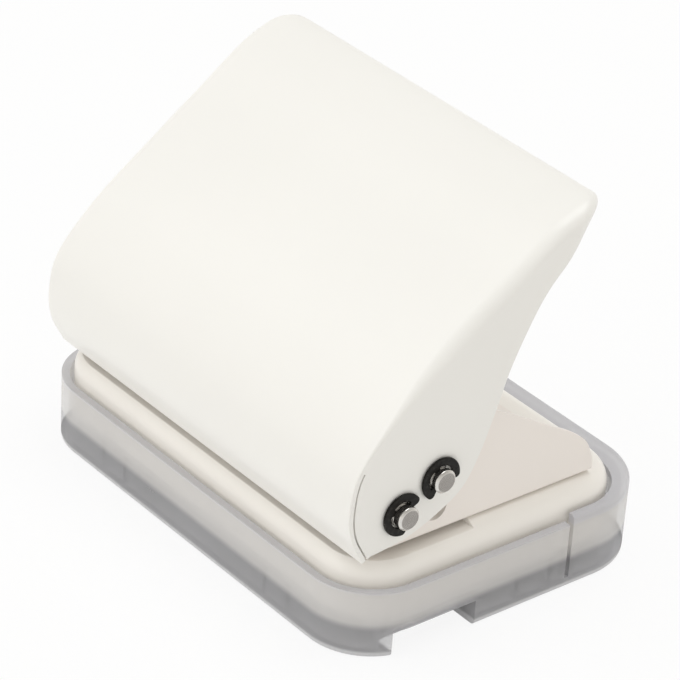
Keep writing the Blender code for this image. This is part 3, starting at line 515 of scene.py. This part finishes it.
def trayRibs():
    # Low and high corners of each rib, from inside the wall to the rib's free end
    top, low, half, root = baseBottom - gap, tray["floor"] / 2, tray["rib"] / 2, tray["wall"] / 2
    outerX, outerY = trayWidth / 2 - root, trayDepth / 2 - root
    ribs = []
    for sign in sides.values():
        for share in tray["sideRibs"]:
            x, y = span(sign, outerX, outerX - tray["ribReach"]), share * trayDepth
            ribs.append(((x[0], y - half, low), (x[1], y + half, top)))
        for share in tray["frontRibs"]:
            x = sign * share * trayWidth
            ribs.append(((x - half, -outerY, low), (x + half, tray["ribReach"] - outerY, top)))
        for share in tray["rearRibs"]:
            x = sign * share * trayWidth
            ribs.append(((x - half, outerY - tray["ribReach"] - tray["ledge"], low), (x + half, outerY, top)))
    return ribs


def traySnaps():
    # Low and high corners of each snap, from inside the front wall to just over the base plate's foot
    inner, root = tray["wall"] - trayDepth / 2, tray["wall"] / 2
    snaps = []
    for sign in sides.values():
        x = span(sign, tray["frontRibs"][0] * trayWidth, tray["frontRibs"][1] * trayWidth)
        snaps.append(((x[0], inner - root, baseBottom),
                      (x[1], inner + tray["snapOut"], baseBottom + tray["snap"])))
    return snaps


def cutPockets(piece, hollow):
    # A finger pocket at each side: the hollow keeps a wall over it, and a grip bar is left standing in it
    outer, wall, top = trayWidth / 2, tray["floor"], tray["pocketHeight"]
    front, reach = tray["pocketBack"] - trayDepth / 2, outer - tray["pocketReach"]
    rear = front + tray["pocketLength"]
    gripRear = rear - tray["gripDrop"]
    for sign in sides.values():
        x = span(sign, outer + past, reach - wall)
        combine(hollow, block("cover", (x[0], front - wall, -past), (x[1], rear + wall, top + wall)))
        x = span(sign, outer + past, reach)
        pocket = block("pocket", (x[0], front, -past), (x[1], rear, top))
        x = span(sign, outer - tray["gripInset"], outer - tray["gripInset"] - tray["rib"])
        combine(pocket, block("grip", (x[0], gripRear - tray["gripLength"], top - tray["gripDrop"]),
                              (x[1], gripRear, top + past)))
        combine(piece, pocket)


def makeTray():
    # A stack of outer rings, with a round foot, a drafted wall and a round rim, less the hollow between the
    # ribs, the mouth for the base plate, the low front rim and the slits
    lean = math.tan(math.radians(tray["draft"]))
    rings = []
    for across, up in arcPoints((0, 0), tray["foot"], -90, 0, tray["footSteps"]):
        z = tray["foot"] + up
        rings.append(trayRing(tray["foot"] - across + lean * (trayTop - z), z))
    for across, up in arcPoints((0, 0), tray["rim"], 0, 90, tray["rimSteps"]):
        rings.append(trayRing(tray["rim"] - across, trayTop - tray["rim"] + up))
    piece = lofted("chipTray", rings)
    hollow = lofted("hollow", [trayRing(tray["wall"], z)
                               for z in (tray["floor"], trayTop - tray["ledgeThickness"])])
    mouth = lofted("mouth", [baseRing(-tray["clearance"], z) for z in (baseBottom, trayTop + past)])
    for low, high in trayRibs():
        combine(hollow, block("rib", low, high))
    for low, high in traySnaps():
        combine(hollow, block("snap", low, high))
        combine(mouth, block("snap", low, high))
    cutPockets(piece, hollow)
    combine(piece, hollow)
    combine(piece, mouth)
    half, top = trayWidth / 2 + past, trayTop + past
    combine(piece, block("rimCut", (-half, -half, tray["front"]), (half, slitY, top)))
    for sign in sides.values():
        x = span(sign, half, trayWidth / 2 - tray["wall"] - tray["clearance"] / 2)
        combine(piece, block("slit", (x[0], slitY, tray["slitFoot"]), (x[1], slitY + tray["slitWidth"], top)))
    dress(piece, "chip_tray", edge=tray["edge"], flatten=True)


def shoulderRings(inset, bottom, top, radius, steps):
    # A straight skirt to a little under its round, a quarter round and a narrow band that keeps the top level
    rings = [baseRing(inset, bottom), baseRing(inset, top - radius - radius * base["underRound"])]
    for across, up in arcPoints((0, 0), radius, 0, 90, steps):
        rings.append(baseRing(inset + radius - across, top - radius + up))
    return rings + [baseRing(inset + radius + base["sheet"] / 2, top)]


def makeBasePlate():
    # A pressed sheet: the outer rings less the same rings a sheet further in, with a step down for the paper
    sheet, top, half = base["sheet"], base["top"], base["width"] / 2 + past
    piece = lofted("basePlate", shoulderRings(0, baseBottom, top, base["shoulder"], base["outerSteps"]))
    hollow = lofted("hollow", shoulderRings(sheet, baseBottom - past, top - sheet, base["shoulder"] - sheet,
                                            base["innerSteps"]))
    combine(hollow, block("floorStep", (-half, baseFront - past, paperFace - sheet),
                          (half, paperStop + sheet, top)))
    combine(piece, hollow)
    combine(piece, block("paperStep", (-half, baseFront - past, paperFace), (half, paperStop, top + past)))
    for side, sign in sides.items():
        combine(piece, upright("die" + side, dieRadius + play, sign * hole["spacing"] / 2, pinY,
                               baseBottom, top + past))
    for x, y in rivetPlaces():
        combine(piece, upright("rivetHole", rivet["radius"] + play, x, y, baseBottom, top + past))
    dress(piece, "base_plate", edge=base["edge"])


hole = {"spacing": 80.0 * mm, "edge": 12.0 * mm}
shaft = {
    "radius": 3.0 * mm, "chamfer": 0.5 * mm, "pivotRise": 10.75 * mm, "arm": 12.3 * mm, "armAngle": 29.3,
    "swing": 32.0, "pivotEnd": 2.4 * mm, "presserEnd": 1.8 * mm, "edge": 0.08 * mm,
}
pinY = paperStop - hole["edge"]
pivotY = pinY - shaft["arm"] * math.cos(math.radians(shaft["armAngle"]))
pivotZ = base["top"] + shaft["pivotRise"]
presserZ = pivotZ + shaft["arm"] * math.sin(math.radians(shaft["armAngle"]))

channel = {
    "width": 117.2 * mm, "sheet": 1.2 * mm, "height": 30.3 * mm, "bend": 1.4 * mm, "rearBack": 10.3 * mm,
    "nose": 10.0 * mm, "noseFoot": 7.3 * mm, "noseTop": 118.0, "noseEnd": 226.0,
    "slotOver": 14.0, "slotPlay": 0.3 * mm,
    "profile": ((1.000, 0.000), (1.000, 0.053), (0.990, 0.158), (0.956, 0.304), (0.883, 0.429),
                (0.767, 0.566), (0.470, 0.915), (0.393, 0.978), (0.310, 1.000), (0.228, 0.960)), "peak": 5,
    "bendSteps": 6, "profileSteps": 5, "noseSteps": 24, "slotSteps": 12, "edge": 0.22 * mm,
}
webBottom = base["top"] + gap
webTop = webBottom + channel["sheet"]
frameRear = baseRear - channel["rearBack"]


def slotOutline():
    # The presser shaft's path about the pivot, as wide as the shaft and its play, with round ends
    pivot, arm, steps = (pivotY, pivotZ), shaft["arm"], channel["slotSteps"]
    wide = shaft["radius"] + channel["slotPlay"]
    start, end = shaft["armAngle"] - shaft["swing"] - channel["slotOver"], shaft["armAngle"]
    return np.vstack((arcPoints(pivot, arm + wide, start, end, steps),
                      arcPoints(pointAt(pivot, arm, end), wide, end, end + 180, steps)[1:],
                      arcPoints(pivot, arm - wide, end, start, steps)[1:],
                      arcPoints(pointAt(pivot, arm, start), wide, start + 180, start + 360, steps)[1:-1]))


def makeFrame():
    # A U section carried along Y and kept where it lies inside the side plate's outline
    half, bend, top = channel["width"] / 2, channel["bend"], webBottom + channel["height"] + past
    centre, steps = (half - bend, webBottom + bend), channel["bendSteps"]
    right = np.vstack(([(half, top)], arcPoints(centre, bend, 0, -90, steps)))
    inner = np.vstack((arcPoints(centre, bend - channel["sheet"], -90, 0, steps),
                       [(half - channel["sheet"], top)]))
    section = np.vstack((right, right[::-1] * (-1, 1), inner[::-1] * (-1, 1), inner))
    piece = carried("frameChannel", section, "Y", pivotY - channel["nose"] - past, frameRear + past)
    keys = np.array(channel["profile"]) * (frameRear - pivotY, channel["height"]) + (pivotY, webBottom)
    tail = smoothPath(keys[1:channel["peak"] + 1], channel["profileSteps"])
    peak = smoothPath(keys[channel["peak"]:], channel["profileSteps"])
    nose = arcPoints((pivotY, pivotZ), channel["nose"], channel["noseTop"], channel["noseEnd"],
                     channel["noseSteps"])
    side = np.vstack((keys[:1], tail, peak[1:], nose, [(pivotY - channel["noseFoot"], webBottom)]))
    combine(piece, carried("sideOutline", side, "X", -half - past, half + past), "INTERSECT")
    combine(piece, crosswise("pivotHole", shaft["radius"] + play, pivotY, pivotZ))
    combine(piece, carried("slot", slotOutline(), "X", -half - past, half + past))
    for sign in sides.values():
        combine(piece, upright("bushHole", bushRadius - bush["neck"] + play, sign * hole["spacing"] / 2, pinY,
                               webBottom - past, webTop + past))
    for x, y in rivetPlaces():
        combine(piece, upright("rivetHole", rivet["radius"] + play, x, y, webBottom - past, webTop + past))
    dress(piece, "frame", edge=channel["edge"])


shell = {
    "sheet": 1.2 * mm, "depth": 73.5 * mm, "height": 75.5 * mm, "round": 3.8 * mm, "lip": 0.4 * mm,
    "tipPlan": 12.0 * mm, "slit": 0.45 * mm, "slitEnd": 3, "slitLead": 4, "roundFull": 6, "steps": 8,
    "face": ((-0.145, -0.132), (-0.197, -0.030), (-0.208, 0.076), (-0.176, 0.202), (-0.049, 0.349),
             (0.073, 0.460), (0.231, 0.579), (0.389, 0.686), (0.552, 0.798), (0.672, 0.850),
             (0.743, 0.860), (0.780, 0.839), (0.782, 0.806)),
    "ear": ((-0.113, -0.116), (-0.059, -0.111), (0.025, -0.099), (0.134, -0.059), (0.242, 0.006),
            (0.304, 0.103), (0.366, 0.261), (0.415, 0.398), (0.514, 0.583), (0.608, 0.688),
            (0.684, 0.756), (0.736, 0.792), (0.752, 0.802)),
    "roundSteps": 8, "earSteps": 7, "middleSteps": 10, "edge": 0.2 * mm, "crease": 40.0,
}
shellHalf = channel["width"] / 2 + gap + shell["sheet"]


def shellLayer(face, ear, halfWidth, radius):
    # Across each row: straight up the ear, a quarter round over the edge, then flat to the middle
    toEar = ear - face
    length = np.linalg.norm(toEar, axis=1, keepdims=True)
    toEar = toEar / length
    radius = np.minimum(radius, length[:, 0] / 2)
    angle = np.radians(np.linspace(90, 0, shell["roundSteps"] + 1))
    inward = radius[:, None] * (1 - np.sin(angle))
    across = halfWidth[:, None] - radius[:, None] * (1 - np.cos(angle))
    reach = np.linspace(0, 1, shell["earSteps"] + 1)[1:]
    drop = radius[:, None] + (length - radius[:, None]) * reach
    middle = np.linspace(0, 1, shell["middleSteps"] + 1)[:-1] * across[:, :1]
    x = np.hstack((middle, across, np.repeat(halfWidth[:, None], len(reach), axis=1)))
    down = np.hstack((np.zeros_like(middle), inward, drop))
    right = np.dstack((x, face[:, :1] + toEar[:, :1] * down, face[:, 1:] + toEar[:, 1:] * down))
    return np.hstack((right[:, :0:-1] * (-1, 1, 1), right))


def slitOutline(outer, outward):
    # A thin band one sheet inside the front rows, led on in front of the lip by a few rows
    count = shell["slitEnd"] * shell["steps"] + 1
    path = np.vstack((2 * outer[0] - outer[shell["slitLead"]], outer[:count]))
    out = np.vstack((outward[:1], outward[:count]))
    return np.vstack((path - out * shell["sheet"], (path - out * (shell["sheet"] + shell["slit"]))[::-1]))


def makeHandle():
    # The drawn shell: an outer and an inner layer of rows from lip to tip, joined round all edges. The edge's
    # round swells smoothly from the lip's to the full one, and the tip draws in along a quarter circle
    pivot, size = np.array((pivotY, pivotZ)), np.array((shell["depth"], shell["height"]))
    outer = smoothPath(pivot + np.array(shell["face"]) * size, shell["steps"])
    ear = smoothPath(pivot + np.array(shell["ear"]) * size, shell["steps"])
    slope = np.gradient(outer, axis=0)
    slope /= np.linalg.norm(slope, axis=1)[:, None]
    outward = np.column_stack((-slope[:, 1], slope[:, 0]))
    row = np.arange(len(outer)) / shell["steps"]
    share = np.clip((row - shell["slitEnd"]) / (shell["roundFull"] - shell["slitEnd"]), 0, 1)
    radius = shell["lip"] + (shell["round"] - shell["lip"]) * share * share * (3 - 2 * share)
    toTip = np.append(np.cumsum(np.linalg.norm(np.diff(outer, axis=0), axis=1)[::-1])[::-1], 0)
    tip = shell["tipPlan"]
    inset = tip - np.sqrt(tip ** 2 - np.clip(tip - toTip, 0, None) ** 2)
    outside, inside = (shellLayer(outer - outward * depth, ear, shellHalf - inset - depth,
                                  np.maximum(radius - depth, shell["lip"])) for depth in (0, shell["sheet"]))
    rings = np.concatenate((outside, inside[:, ::-1]), axis=1)
    rows, columns = rings.shape[:2]
    faces = gridFaces(rows, columns, True).tolist()
    near = np.arange(outside.shape[1] - 1)
    far = columns - 1 - near
    for start in (0, (rows - 1) * columns):
        faces += (np.column_stack((near, near + 1, far - 1, far)) + start).tolist()
    piece = meshOf("handleShell", rings, faces)
    for sign in sides.values():
        ends = span(sign, shellHalf - shell["sheet"] - gap, shellHalf + past)
        combine(piece, carried("slit", slitOutline(outer, outward), "X", *ends))
    combine(piece, crosswise("pivotHole", shaft["radius"] + play, pivotY, pivotZ))
    combine(piece, crosswise("presserHole", shaft["radius"] + play, pinY, presserZ))
    dress(piece, "handle", edge=shell["edge"], crease=shell["crease"])


clip = {
    "radius": 5.5 * mm, "thick": 0.6 * mm, "groove": 0.5 * mm, "play": 0.1 * mm, "relief": 0.5 * mm,
    "gap": 100.0, "prong": 30.0, "endRound": 1.1 * mm, "pivotTurn": -26.0, "presserTurn": -64.0,
    "outerSteps": 56, "reliefSteps": 10, "steps": 8, "edge": 0.10 * mm,
}
clipX = shellHalf + gap


def makeShaft(node, y, z, reach):
    # A round bar with a clip groove near each end and a small chamfer
    radius, groove, chamfer = shaft["radius"], shaft["radius"] - clip["groove"], shaft["chamfer"]
    near, far = clipX - clip["play"], clipX + clip["thick"] + clip["play"]
    end = clipX + clip["thick"] + reach
    half = [(radius, near), (groove, near), (groove, far), (radius, far), (radius, end - chamfer),
            (radius - chamfer, end), (0, end)]
    profile = [(r, -x) for r, x in reversed(half)] + half
    piece = turned(node + "Turned", profile, (0, y, z), "X")
    dress(piece, node, edge=shaft["edge"], paint=turnedSteel(node + "Steel", (0, y, z)))


def clipOutline(centre, turn):
    # A ring open over the gap with round ends, three prongs in the groove and reliefs between them
    start, end, middle = turn + clip["gap"] / 2, turn + 360 - clip["gap"] / 2, turn + 180
    prong, relief = shaft["radius"] - clip["groove"] + clip["play"], shaft["radius"] + clip["relief"]
    wide, steps, reliefSteps = clip["prong"], clip["steps"], clip["reliefSteps"]
    radius, reach = clip["endRound"], clip["radius"] - clip["endRound"]
    back = math.degrees(math.asin(radius / reach))
    first, last = pointAt(centre, reach, start + back), pointAt(centre, reach, end - back)
    return np.vstack((arcPoints(first, radius, start - 90, start + back, steps)[:-1],
                      arcPoints(centre, clip["radius"], start + back, end - back, clip["outerSteps"]),
                      arcPoints(last, radius, end - back, end + 90, steps)[1:],
                      arcPoints(centre, prong, end, end - wide, steps),
                      arcPoints(centre, relief, end - wide, middle + wide / 2, reliefSteps),
                      arcPoints(centre, prong, middle + wide / 2, middle - wide / 2, steps),
                      arcPoints(centre, relief, middle - wide / 2, start + wide, reliefSteps),
                      arcPoints(centre, prong, start + wide, start, steps)))


def makeClip(kind, side, sign, y, z, turn):
    # The outline carried along X by the clip's thickness
    ends = span(sign, clipX, clipX + clip["thick"])
    piece = carried(kind + "Clip" + side, clipOutline((y, z), turn), "X", *ends)
    dress(piece, "%s_clip_%s" % (kind, side), edge=clip["edge"])


pin = {
    "radius": 2.85 * mm, "head": 5.5 * mm, "headThick": 1.2 * mm, "retreat": 0.3 * mm, "hollow": 1.0 * mm,
    "edge": 0.12 * mm,
}
pinTop = presserZ - shaft["radius"] - gap
pinSeat = pinTop - pin["headThick"]
pinTip = webBottom + pin["retreat"]
pinBore = pin["radius"] + play


def makePin(side, centre):
    # A headed round bar whose tip a crosswise wedge hollows to two cutting points
    radius, head = pin["radius"], pin["head"]
    profile = ((0, pinTip), (radius, pinTip), (radius, pinSeat), (head, pinSeat), (head, pinTop), (0, pinTop))
    piece = turned("pinTurned" + side, profile, centre, "Z")
    foot = pinTip - pin["hollow"] / 2
    wedge = ((pinY - radius, foot), (pinY, pinTip + pin["hollow"]), (pinY + radius, foot))
    combine(piece, carried("hollow", wedge, "X", centre[0] - head, centre[0] + head))
    dress(piece, "punch_pin_" + side, edge=pin["edge"])


bush = {"wall": 1.1 * mm, "rise": 2.5 * mm, "neck": 0.3 * mm, "edge": 0.12 * mm}
bushRadius = pinBore + bush["wall"]


def makeGuide(side, centre):
    # A bored bush, with a narrower neck through the frame's web
    neck, shoulder, top = bushRadius - bush["neck"], webTop + gap, webTop + bush["rise"]
    profile = ((pinBore, webBottom), (neck, webBottom), (neck, shoulder), (bushRadius, shoulder),
               (bushRadius, top), (pinBore, top))
    piece = turned("guideTurned" + side, profile, centre, "Z", bored=True)
    dress(piece, "guide_bush_" + side, edge=bush["edge"])


die = {"wall": 1.8 * mm, "flange": 1.5 * mm, "edge": 0.12 * mm}
dieRadius = pinBore + die["wall"]


def makeDie(side, centre):
    # A bored bush flush with the paper's face, with a flange under the base plate's sheet
    high = paperFace - base["sheet"] - gap
    low, wide = high - die["flange"], dieRadius + die["flange"]
    profile = ((pinBore, low), (wide, low), (wide, high), (dieRadius, high), (dieRadius, paperFace),
               (pinBore, paperFace))
    piece = turned("dieTurned" + side, profile, centre, "Z", bored=True)
    dress(piece, "die_bush_" + side, edge=die["edge"])


spring = {"wire": 0.35 * mm, "play": 0.4 * mm, "turns": 3, "turnSteps": 40, "wireSides": 12}


def makeSpring(side, centre):
    # A tube of round wire along a helix: each ring turns the wire's radius from outward towards their cross
    # product with the path. The stroke = arm times the fall of its angle's sine, and the length, are worked
    # out but not used
    wire, turns = spring["wire"], spring["turns"]
    radius = bushRadius + spring["play"] + wire
    low, high = webTop + gap + wire, pinSeat - gap - wire
    share = np.linspace(0, 1, spring["turnSteps"] * turns + 1)
    angle = 2 * np.pi * turns * share
    path = np.column_stack((radius * np.cos(angle), radius * np.sin(angle), low + (high - low) * share))
    path += centre
    along = np.gradient(path, axis=0)
    along /= np.linalg.norm(along, axis=1)[:, None]
    out = np.column_stack((np.cos(angle), np.sin(angle), np.zeros_like(angle)))
    up = np.cross(along, out)
    around = 2 * np.pi * np.arange(spring["wireSides"])[:, None] / spring["wireSides"]
    rings = path[:, None] + wire * (out[:, None] * np.cos(around) + up[:, None] * np.sin(around))
    piece = lofted("springWire" + side, rings)
    dress(piece, "pin_spring_" + side)
    stroke = shaft["arm"] * (math.sin(math.radians(shaft["armAngle"]))
                             - math.sin(math.radians(shaft["armAngle"] - shaft["swing"])))
    length = pinSeat - webTop - 2 * gap
    low - wire
    1 - stroke / length
    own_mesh(piece)


rivet = {
    "radius": 1.5 * mm, "head": 2.7 * mm, "tall": 1.1 * mm, "side": 0.82, "runs": (0.16, 0.70),
    "domeSteps": 8, "sides": 48,
}


def rivetPlaces():
    # A share of the frame's half width to each side, and shares of the run from the paper's stop to the rear
    return [(sign * rivet["side"] * channel["width"] / 2, paperStop + share * (frameRear - paperStop))
            for sign in sides.values() for share in rivet["runs"]]


def makeRivet(number, x, y):
    # A shank with an elliptical dome above the web and another under the plate
    low, high = base["top"] - base["sheet"] - gap, webTop + gap
    dome = arcPoints((0, 0), 1, 90, 0, rivet["domeSteps"]) * (rivet["head"], rivet["tall"])
    above = dome + (0, high)
    below = dome[::-1] * (1, -1) + (0, low)
    profile = np.vstack((above, [(rivet["radius"], high), (rivet["radius"], low)], below))
    piece = turned("rivetTurned%d" % number, profile, (x, y, 0), "Z", sides=rivet["sides"])
    dress(piece, "frame_rivet_%d" % number)


makeTray()
print("stage: tray")
makeBasePlate()
makeFrame()
print("stage: base plate and frame")
makeHandle()
print("stage: handle")
makeShaft("pivot_shaft", pivotY, pivotZ, shaft["pivotEnd"])
makeShaft("presser_shaft", pinY, presserZ, shaft["presserEnd"])
for side, sign in sides.items():
    makeClip("pivot", side, sign, pivotY, pivotZ, clip["pivotTurn"])
    makeClip("presser", side, sign, pinY, presserZ, clip["presserTurn"])
    centre = (sign * hole["spacing"] / 2, pinY, 0)
    makePin(side, centre)
    makeGuide(side, centre)
    makeDie(side, centre)
    makeSpring(side, centre)
for number, (x, y) in enumerate(rivetPlaces(), 1):
    makeRivet(number, x, y)
print("stage: shafts, clips, punches and rivets")

studio = {
    "floorColour": rgb(0.93, 0.93, 0.93), "floorRoughness": 0.9, "floorHalf": 3.0, "floorTop": -0.2 * mm,
    "floorBottom": -12.0 * mm, "glow": 0.88, "mirrorGlow": 0.6, "throughGlow": 0.3, "white": rgb(1, 1, 1),
    "horizon": 0.98, "zenith": 0.50, "worldClimb": 0.8, "worldTint": rgb(1.0, 0.976, 0.928),
    "lampTint": (0.97, 0.988, 1.0), "lampAim": (0, 0, 0.04),
}


def makeFloor():
    # A level sheet that looks almost white to the camera, less so in metal and through glass, and keeps the
    # object's shadow
    half = studio["floorHalf"]
    piece = block("studioFloor", (-half, -half, studio["floorBottom"]), (half, half, studio["floorTop"]))
    recipe = Recipe("studioFloor", Base_Color=studio["floorColour"], Roughness=studio["floorRoughness"],
                    Specular_IOR_Level=0.0)
    light = recipe.node("ShaderNodeEmission", {}, {"Color": studio["white"], "Strength": 1.0})
    seen = recipe.ray("Camera") + recipe.ray("Glossy") * studio["mirrorGlow"] \
        + recipe.ray("Transmission") * studio["throughGlow"]
    recipe.show(seen * studio["glow"], Wire(recipe, recipe.surface.outputs[0]), light, "Material Output")
    piece.data.materials.append(recipe.material)
    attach(piece, bodyOf["chip_tray"])  # the tray stays on the floor when the punch is lifted off it


def makeWorld():
    # White to the camera, and otherwise a soft light that falls evenly from the horizon up to the climb
    world = bpy.data.worlds.new("studioWorld")
    bpy.context.scene.world = world
    world.use_nodes = True
    nodes = Nodes(world.node_tree)
    height = nodes.node("ShaderNodeSeparateXYZ", {},
                        {"Vector": nodes.node("ShaderNodeTexCoord", output="Generated")}, "Z")
    strength = nodes.node("ShaderNodeMapRange", {},
                          {"Value": height, "From Max": studio["worldClimb"], "To Min": studio["horizon"],
                           "To Max": studio["zenith"]})
    soft = nodes.node("ShaderNodeBackground", {}, {"Color": studio["worldTint"], "Strength": strength})
    white = nodes.node("ShaderNodeBackground", {}, {"Color": studio["white"]})
    nodes.show(nodes.ray("Camera"), soft, white, "World Output")


lamps = {
    "keyLamp": {"power": 3.2, "size": 0.9, "place": (-0.75, -0.85, 1.25)},
    "fillLamp": {"power": 0.1, "size": 0.9, "place": (1.1, -0.5, 0.40)},
    "topLamp": {"power": 7.2, "size": 0.9, "place": (0.05, 0.25, 1.42)},
    "lowLamp": {"power": 2.6, "size": 0.8, "place": (-0.30, -1.20, 0.14)},
}


def makeLamp(name, power, size, place):
    # A square lamp at a place, turned to face the aim
    lamp = bpy.data.lights.new(name, "AREA")
    lamp.energy = power
    lamp.color = studio["lampTint"]
    lamp.size = size
    lamp.shape = "SQUARE"
    held = bpy.data.objects.new(name, lamp)
    held.location = place
    held.rotation_euler = (Vector(studio["lampAim"]) - Vector(place)).to_track_quat("-Z", "Y").to_euler()
    bpy.context.scene.collection.objects.link(held)


camera = {
    "azimuth": 50.47, "elevation": 30.53, "roll": 3.52, "place": (0.58325, -0.49515, 0.49069),
    "lens": 193.24, "film": 36.0, "shiftX": 0.0525, "shiftY": 0.0096,
}


def makeCamera():
    # Looks along the azimuth and elevation, then rolls about its own view line
    azimuth, elevation, roll = (math.radians(camera[key]) for key in ("azimuth", "elevation", "roll"))
    level = math.cos(elevation)
    back = Vector((math.sin(azimuth) * level, -math.cos(azimuth) * level, math.sin(elevation)))
    right = Vector((math.cos(azimuth), math.sin(azimuth), 0))
    up = back.cross(right)
    turnedRight = math.cos(roll) * right + math.sin(roll) * up
    turnedUp = math.cos(roll) * up - math.sin(roll) * right
    data = bpy.data.cameras.new("photoCamera")
    data.lens = camera["lens"]
    data.sensor_width = camera["film"]
    data.shift_x = camera["shiftX"]
    data.shift_y = camera["shiftY"]
    held = bpy.data.objects.new("photoCamera", data)
    turn = Matrix((turnedRight, turnedUp, back)).transposed().to_4x4()
    held.matrix_world = Matrix.Translation(camera["place"]) @ turn
    bpy.context.scene.collection.objects.link(held)
    bpy.context.scene.camera = held


makeFloor()
makeWorld()
for name, lamp in lamps.items():
    makeLamp(name, **lamp)
makeCamera()
bpy.context.scene.view_settings.view_transform = "Standard"
print("stage: studio")
